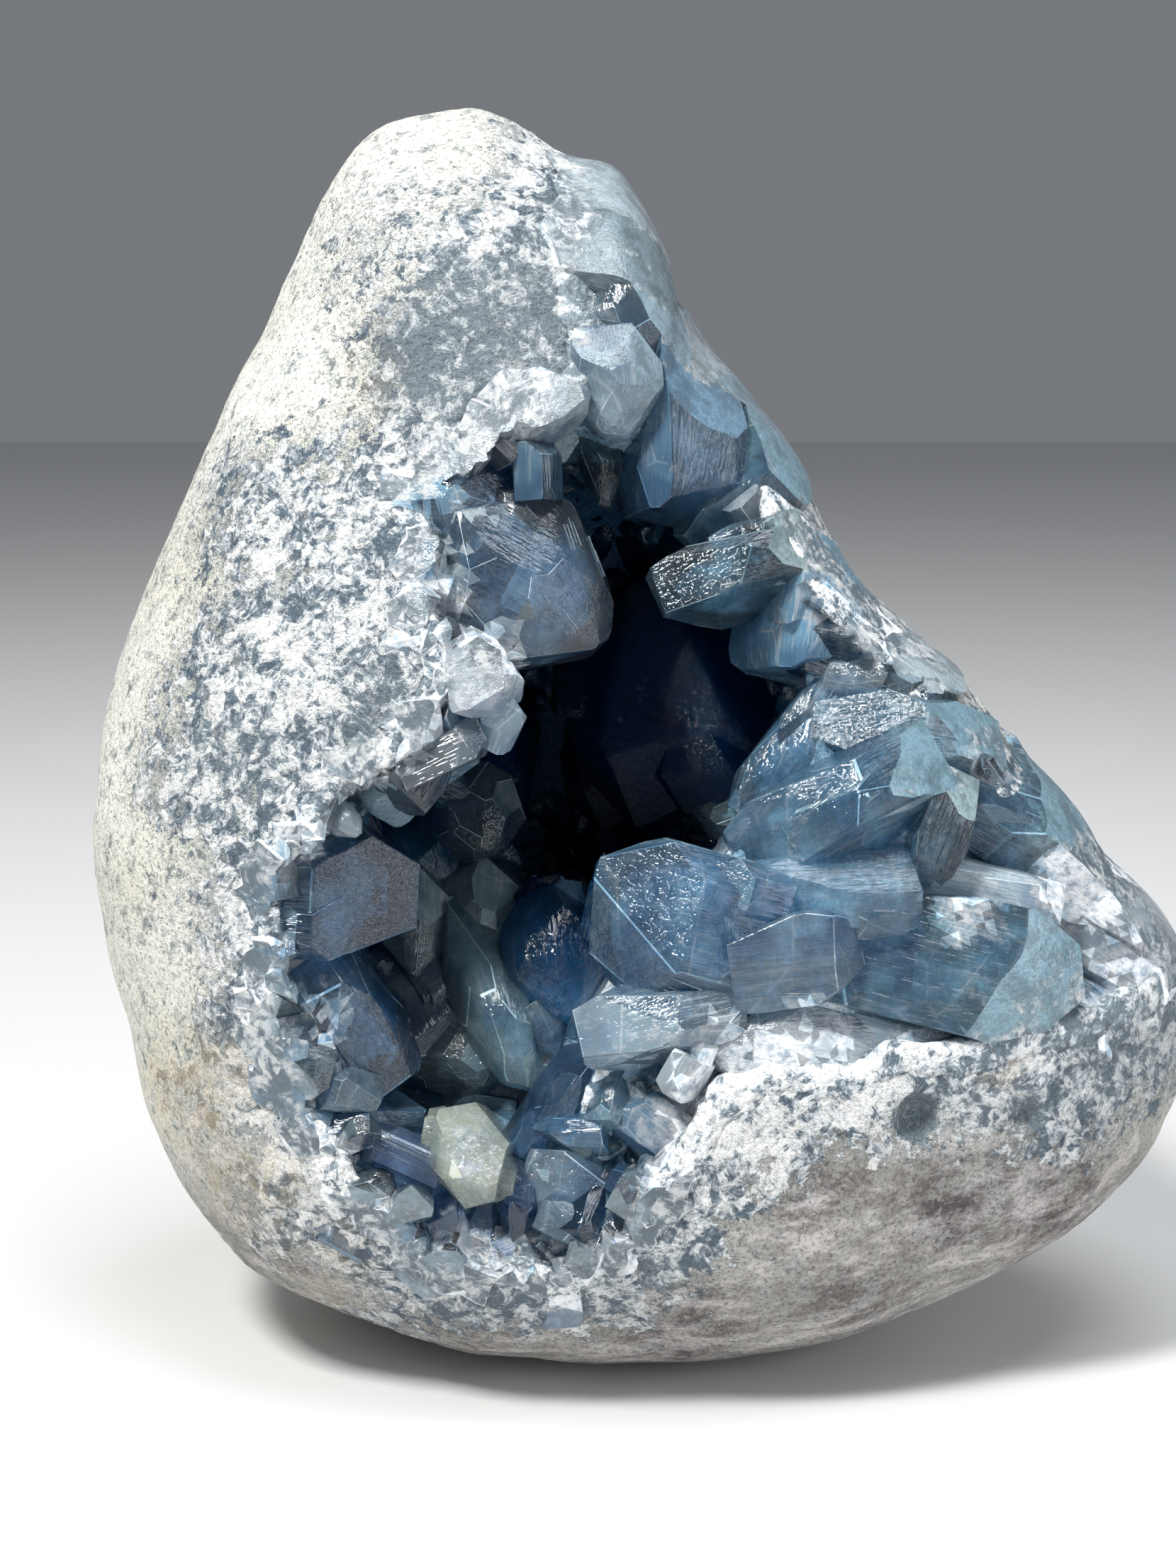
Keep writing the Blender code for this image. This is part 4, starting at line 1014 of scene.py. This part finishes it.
def plantAlong(name, kind, place, along, length, width, tint, clarity, some):
    turn = along.to_track_quat("Z", "Y").to_matrix() @ Matrix.Rotation(some.uniform(0, 6.28), 3, "Z")
    axes = turn @ Matrix.Diagonal((width / 2, width * some.uniform(*druse["slimness"]) / 2, length / 2))
    plant(name, some.choice(models[kind]), Matrix.Translation(place) @ axes.to_4x4(), tint, clarity, some)


def growDruse():
    some = random.Random(druse["seed"])
    kinds = ["chisel", "wedge", "spear", "block", "dome", "hexagon"]
    namedPlanes = [planesOf(crystal) for crystal in cluster.objects if not crystal.name.startswith("wall")]
    bedTree = treeOf([bed])
    allTree = treeOf([bed] + list(cluster.objects))
    made = 0
    for _ in range(druse["tries"]):
        x, z = (some.uniform(*span) for span in druse["area"])
        if made >= druse["gaps"] or not insideMouth(x, z) or spotSum(calmSpots, x, z) > druse["calm"]:
            continue
        place, normal, _, away = fromEye(allTree, x, z)
        if place is None:
            continue
        bedAway = fromEye(bedTree, x, z)[3]
        if bedAway is None or bedAway - away > druse["overBed"]:
            continue
        lie = Vector((some.uniform(-1, 1), some.uniform(*druse["gapLie"]), some.uniform(-1, 1)))
        length, width = some.uniform(*druse["gapLength"]), some.uniform(*druse["gapWidth"])
        # painted shade: gap crystals deep in the hollow take the dark navy and deep blue tints
        deep = place.y > druse["shadeFrom"]
        tint = some.choice(["shadeNavy", "deep"]) if deep else some.choice(["steel", "grey", "teal", "steel", "green"])
        if mouthTree.find(place)[2] < druse["rimBand"]:
            tint = some.choice(["slate", "dusty", "grey", "ash"])
        plantAlong(f"gap{made}", some.choice(kinds), place - normal * length * druse["gapSink"],
                   (normal * druse["gapRise"] + lie).normalized(), length, width, tint,
                   milky if some.random() < druse["milkyShare"] else clear, some)
        made += 1
    inward = Vector((hollow["middle"][0], 0, hollow["middle"][1]))
    for i in range(druse["rim"]):
        edge = mouthEdge[int(i * len(mouthEdge) / druse["rim"])]
        toMiddle = inward - Vector((edge.x, 0, edge.z))
        place = edge + toMiddle.normalized() * some.uniform(*druse["rimInset"])
        place, normal, _, _ = stoneTree.find_nearest(place)
        taken = any(within(planes, place - normal * druse["clearance"]) for planes in namedPlanes)
        if taken or spotSum(calmSpots, place.x, place.z) > druse["calm"]:
            continue
        lie = Vector((some.uniform(-1, 1), some.uniform(*druse["rimLie"]), some.uniform(-1, 1)))
        length, width = some.uniform(*druse["rimLength"]), some.uniform(*druse["rimWidth"])
        rimTints = ["slate", "lilac", "dusty"] if place.z < druse["lowFrom"] else ["dusty", "grey", "slate", "grey"]
        plantAlong(f"rim{i}", some.choice(kinds), place - normal * width * some.uniform(*druse["rimSink"]),
                   (normal * druse["rimRise"] + lie).normalized(), length, width, some.choice(rimTints),
                   some.choice([cloudy, milky, clear]), some)
    print("druse", made)


growDruse()

# thin pale blades on the large crystals' open faces
silk = {
    "on": ("glass_dome", "keystone", "fan", "window", "teal_shoulder", "wide_blue", "cracked_blue"),
    "seed": 8, "tip": 0.35, "root": 0.6, "faceArea": 9, "faceTurn": 0.15, "faces": 3, "blades": (2, 4),
    "length": (2.0, 7.0), "reach": 0.5, "width": (0.05, 0.13), "thickness": 0.16, "turn": 0.25, "wobble": 0.05,
    "gap": (0.35, 0.8), "slide": 0.8, "inward": 0.35,
}


def makeBlade():
    bpy.ops.mesh.primitive_cube_add(size=1.0)
    blade = bpy.context.object
    for v in blade.data.vertices:
        v.co.x *= silk["tip"] if v.co.z > 0 else silk["root"]
    return blade


def growSilk():
    some = random.Random(silk["seed"])
    blade = makeBlade()
    made = 0
    for crystal in [cluster.objects[name] for name in silk["on"]]:
        faces = [face for face in crystal.data.polygons
                 if face.area > silk["faceArea"] and face.normal.y < silk["faceTurn"] and face.center.y < 0]
        for face in some.sample(faces, min(len(faces), silk["faces"])):
            corners = [crystal.data.vertices[i].co for i in face.vertices]
            sides = [corners[i] - corners[i - 1] for i in range(len(corners))]
            along = max(sides, key=lambda side: side.length).normalized()
            across = face.normal.cross(along).normalized()
            weights = [some.random() for _ in corners]
            start = sum((c * w for c, w in zip(corners, weights)), Vector()) / sum(weights)
            start = start.lerp(face.center, silk["inward"])
            turn = some.uniform(-silk["turn"], silk["turn"])
            for i in range(some.randint(*silk["blades"])):
                length = min(some.uniform(*silk["length"]), math.sqrt(face.area) * silk["reach"])
                slide = some.uniform(*silk["gap"]), some.uniform(-silk["slide"], silk["slide"])
                place = start + across * (i * slide[0]) + along * slide[1]
                way = (along + across * (turn + some.uniform(-silk["wobble"], silk["wobble"]))).normalized()
                side = face.normal.cross(way)
                axes = Matrix((side * some.uniform(*silk["width"]), face.normal * silk["thickness"], way * length))
                plant(f"silk{made}", blade, Matrix.Translation(place) @ axes.transposed().to_4x4(), "pale", cloudy,
                      some)
                made += 1
    bpy.data.objects.remove(blade)
    print("silk", made)


growSilk()

# what each crystal was before the union: low and high corners, planes, tint
solids = []
for crystal in cluster.objects:
    points = [v.co for v in crystal.data.vertices]
    low = Vector([min(p[i] for p in points) for i in range(3)])
    high = Vector([max(p[i] for p in points) for i in range(3)])
    solids.append((low, high, planesOf(crystal), crystal.data.attributes["tint"].data[0].color[:3]))

# where the crystals stay clear up to the edge: x, z, reach, amount
clearSpots = [
    (9, 47, 13, 1.0), (2, 40, 8, 1.0), (19, 33, 9, 1.0), (38, 6, 9, 0.9), (46, -3, 8, 0.8), (12, 38, 9, 1.0),
    (-24, -9, 9, 0.8), (-23, -17, 6, 0.6),
]
# where frost lies on the crystals
frostSpots = [
    (50, -10, 7, 1.0), (38, -12, 6, 0.55), (16, -33.5, 12, 1.0), (22, -26, 7, 0.6), (28, -30, 8, 0.4),
    (43, -27, 8, 0.4), (56, -22, 12, 0.75), (9, -25, 5, 0.35), (14, -27, 6, 0.6), (-10, 13, 5, 0.8),
    (-15, 19, 6, 0.6), (-12, 28, 6, 0.35), (3, 57, 7, 0.25), (-26, -23, 5, 0.55), (24, 18, 7, 0.45),
    (30, 16, 5, 0.9), (-12, -48, 8, 0.5), (-4, -38, 4, 0.3), (-12, -37.5, 5, 0.5), (-33, -20, 6, 0.6),
    (-28, -38, 7, 0.6), (-30, -5, 6, 0.7), (-20, 22, 7, 0.7), (-6, 45, 6, 0.6), (40, 4, 4, 0.5),
]
crusting = {
    "groundRise": 0.35, "clearRise": 0.7, "groundSides": 340, "groundRings": 66,
    "longestEdge": 1.7, "rounds": 5, "dissolve": 0.001, "under": 0.3,
    "lit": (4, -12), "edgeFrost": 0.95, "edgeBand": 5.5, "seamFrost": 0.5, "frostedFrom": 0.55, "cloudyFrom": 0.38,
    "ragged": ((2.2, 0.35), (0.9, 0.2)), "crumbSize": 1.2, "crumbHeight": 1.1, "crumbLevel": 0.55, "crumbFrom": 0.3,
    "smoothAngle": 24,
}


def joinCrust():
    crust = cluster.objects["keystone"]
    cluster.objects.unlink(crust)
    bpy.context.scene.collection.objects.link(crust)
    combine(crust, "UNION", group=cluster)
    crust.name = "celestite_crust"
    print("union", len(crust.data.polygons))
    # all that stands out of the stone is ground off, nearly flush
    groundForm = stoneForm("ground", crusting["groundRise"], crusting["groundSides"], crusting["groundRings"])
    lifted = [v.co + v.normal * (spotSum(clearSpots, *seenAt(v.co)) * crusting["clearRise"])
              for v in groundForm.data.vertices]
    for v, place in zip(groundForm.data.vertices, lifted):
        v.co = place
    dress(groundForm.data, "pale", [ground] * len(groundForm.data.polygons))
    combine(crust, "INTERSECT", groundForm)
    print("ground", len(crust.data.polygons))
    return crust


crust = joinCrust()
for habitModels in models.values():
    for model in habitModels:
        bpy.data.objects.remove(model)


def dropFlaps(shape):
    # two faces on the same corners are a flap without a body: both go, and so does what hangs loose
    seen = {}
    for face in shape.faces:
        seen.setdefault(frozenset(face.verts), []).append(face)
    flaps = [face for faces in seen.values() if len(faces) > 1 for face in faces]
    bmesh.ops.delete(shape, geom=flaps, context="FACES_ONLY")
    bmesh.ops.delete(shape, geom=[edge for edge in shape.edges if not edge.link_faces], context="EDGES")
    bmesh.ops.delete(shape, geom=[v for v in shape.verts if not v.link_faces], context="VERTS")
    bmesh.ops.holes_fill(shape, edges=[edge for edge in shape.edges if len(edge.link_faces) == 1], sides=0)


def triangulate(shape):
    bmesh.ops.triangulate(shape, faces=[face for face in shape.faces if len(face.verts) > 3])


def refine(thing):
    # triangles small enough to carry frost
    shape = bmesh.new()
    shape.from_mesh(thing.data)
    bmesh.ops.dissolve_degenerate(shape, dist=crusting["dissolve"], edges=shape.edges)
    for _ in range(crusting["rounds"]):
        triangulate(shape)
        long = [edge for edge in shape.edges if edge.calc_length() > crusting["longestEdge"]]
        if not long:
            break
        bmesh.ops.subdivide_edges(shape, edges=long, cuts=1)
    triangulate(shape)
    dropFlaps(shape)
    triangulate(shape)
    shape.to_mesh(thing.data)
    shape.free()
    thing.data.validate()


def solidAt(p):
    for number, (low, high, planes, _) in enumerate(solids):
        if low.x < p.x < high.x and low.y < p.y < high.y and low.z < p.z < high.z and within(planes, p):
            return number
    return -1


def tintGround(mesh):
    # a cut face takes the tint of the crystal it cuts; 1 where two crystals meet on the cut
    hue = mesh.attributes["tint"].data
    owners = [set() for _ in mesh.vertices]
    for face in mesh.polygons:
        if face.material_index != ground:
            continue
        number = solidAt(face.center - face.normal * crusting["under"])
        colour = solids[number][3] if number >= 0 else tints["grey"]
        for corner in face.loop_indices:
            hue[corner].color = (*colour, 1)
            owners[mesh.loops[corner].vertex_index].add(number)
    return [1.0 if len(found) > 1 else 0.0 for found in owners]


def frostCrust(mesh):
    amounts = []
    for v, seam in zip(mesh.vertices, tintGround(mesh)):
        x, z = seenAt(v.co)
        band = crusting["edgeFrost"] * max(0.0, 1 - mouthTree.find(v.co)[2] / crusting["edgeBand"])
        amount = max(spotSum(frostSpots, x, z), band * (1 - spotSum(clearSpots, x, z)), crusting["seamFrost"] * seam)
        amounts.append(amount * fade(v.co.y, *crusting["lit"]))
    paint(mesh, "frost", amounts)
    amounts = [item.value for item in mesh.attributes["frost"].data]      # rounded as the mesh stores them
    # small faces with much frost on them are of the frosted kind, ragged by noise
    for face in mesh.polygons:
        if face.material_index in (ground, shaded):
            continue
        amount = sum(amounts[i] for i in face.vertices) / len(face.vertices)
        amount += sum(noise.noise(face.center / size) * height for size, height in crusting["ragged"])
        if amount > crusting["frostedFrom"]:
            face.material_index = frosted
        elif amount > crusting["cloudyFrom"]:
            face.material_index = max(cloudy, face.material_index)
    return amounts


refine(crust)
print("crust refined", len(crust.data.polygons))
rough = crust.vertex_groups.new(name="rough")
for i, amount in enumerate(frostCrust(crust.data)):
    rough.add([i], max(0.0, amount - crusting["crumbFrom"]), "REPLACE")
applyModifier(crust, "DISPLACE", texture=displaceTexture("crumbs", "CLOUDS", crusting["crumbSize"], noise_depth=2),
              texture_coords="LOCAL", strength=crusting["crumbHeight"], mid_level=crusting["crumbLevel"],
              vertex_group="rough")
crust.data.transform(rowScale @ faceToRow)
makeActive(crust)
bpy.ops.object.shade_smooth_by_angle(angle=math.radians(crusting["smoothAngle"]))
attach(crust, "root")
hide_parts("crystal_crust")
print("crust done", len(crust.data.polygons))

massive = {
    "fine": 1100, "wisps": 230, "pieces": 240, "pieceShare": 0.22, "grains": ((0.35, 0.6), (0.5, 1.0)),
    "colours": ((0.36, (0.07, 0.16, 0.25)), (0.46, (0.21, 0.37, 0.50)), (0.55, (0.40, 0.57, 0.69)),
                (0.62, (0.80, 0.88, 0.93))),
    "deepShadeColour": (0.004, 0.05, 0.13), "roughness": 0.45, "bump": (0.8, 0.0008),
}


def heartMaterial():
    tree = Shading("celestite_heart")
    place = tree.nodes.new("ShaderNodeTexCoord").outputs["Object"]
    fine = tree.noise(place, massive["fine"], 3, 0.7)
    wisps = tree.noise(place, massive["wisps"], 4, 0.76)
    pieces = tree.channel(tree.cells(place, massive["pieces"])["Color"], "Red")
    level = tree.addTimes(pieces, massive["pieceShare"], tree.calc("ADD", wisps, -massive["pieceShare"] / 2))
    roots, _, _ = mottledRoots(tree, place, tree.attribute("dim"), 1)
    grown = frostGrowth(tree, place, tree.attribute("frost"), 1)
    body = tree.mix(grown, tree.ramp(level, *massive["colours"]), roots)
    # painted shade: the heart darkens deeper in the hollow
    body = tree.mix(tree.attribute("deep"), body, massive["deepShadeColour"])
    body = tree.mix(1.0, body, tree.ramp(fine, *massive["grains"]), "MULTIPLY")
    tree.surface({"Base Color": body, "Roughness": massive["roughness"]})
    tree.bump(fine, *massive["bump"])
    return tree.material


def paintHeart(mesh):
    marks = {"deep": [], "frost": [], "dim": []}
    band, most = heart["edgeFrost"]
    for v in mesh.vertices:
        x, z = seenAt(v.co)
        outer = max(0.0, 1 - stoneTree.find_nearest(v.co)[3] / heart["skin"])
        nearEdge = max(0.0, 1 - mouthTree.find(v.co)[2] / band)
        # painted shade: darker the deeper a point lies, but not near the outer skin
        marks["deep"].append(fade(v.co.y, heart["shadeFrom"], heart["deep"]) * (1 - outer))
        marks["frost"].append(max(spotSum(frostSpots, x, z) * fade(v.co.y, *heart["lit"]), min(1.0, most * nearEdge),
                                  min(1.0, 2 * outer)))
        marks["dim"].append(spotSum(dimSpots, x, z))
    for name, values in marks.items():
        paint(mesh, name, values)


paintHeart(bed.data)
bed.data.materials.clear()
bed.data.materials.append(heartMaterial())
bed.data.transform(rowScale @ faceToRow)
bed.data.shade_smooth()
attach(bed, "root")
print("heart dressed")

studio = {
    "floorSize": 4.0, "floorColour": (0.72, 0.72, 0.72), "floorRoughness": 0.8, "aim": (0, 0, 0.055),
    "sky": (0.82, 0.86, 0.92), "skyStrength": 0.22,
    # place, size, power, colour
    "key": ((-0.26, -0.32, 0.60), 0.13, 5.5, (1.0, 0.99, 0.96)),
    "top": ((0.12, -0.10, 0.70), 0.40, 3.0, (0.96, 0.98, 1.0)),
    "fill": ((0.50, -0.50, 0.25), 0.40, 1.6, (0.93, 0.96, 1.0)),
    "lens": 60.07, "sensor": 36, "clipStart": 0.01,
}
deselectAll()
bpy.ops.mesh.primitive_plane_add(size=studio["floorSize"], location=(0, 0, 0))
floor = bpy.context.object
floor.name = "floor"
floorTree = Shading("floor_pale")
floorTree.surface({"Base Color": studio["floorColour"], "Roughness": studio["floorRoughness"]})
floor.data.materials.append(floorTree.material)

for name in ("key", "top", "fill"):
    place, size, power, colour = studio[name]
    lamp = bpy.data.lights.new(name, "AREA")
    lamp.energy = power
    lamp.size = size
    lamp.color = colour
    thing = bpy.data.objects.new(name, lamp)
    thing.location = place
    thing.rotation_euler = (Vector(studio["aim"]) - Vector(place)).to_track_quat("-Z", "Y").to_euler()
    bpy.context.scene.collection.objects.link(thing)

world = bpy.data.worlds.new("studio")
world.use_nodes = True
world.node_tree.nodes["Background"].inputs["Color"].default_value = (*studio["sky"], 1)
world.node_tree.nodes["Background"].inputs["Strength"].default_value = studio["skyStrength"]
bpy.context.scene.world = world
bpy.context.scene.view_settings.view_transform = "Standard"

cameraData = bpy.data.cameras.new("camera")
cameraData.lens = studio["lens"]
cameraData.sensor_width = studio["sensor"]
cameraData.clip_start = studio["clipStart"]
camera = bpy.data.objects.new("camera", cameraData)
bpy.context.scene.collection.objects.link(camera)
camera.rotation_euler = (lean.to_3x3() @ Vector((0, 1, 0))).to_track_quat("-Z", "Y").to_euler()
camera.location = rowScale @ faceToRow @ eye
bpy.context.scene.camera = camera
print("floor, lamps and camera done")
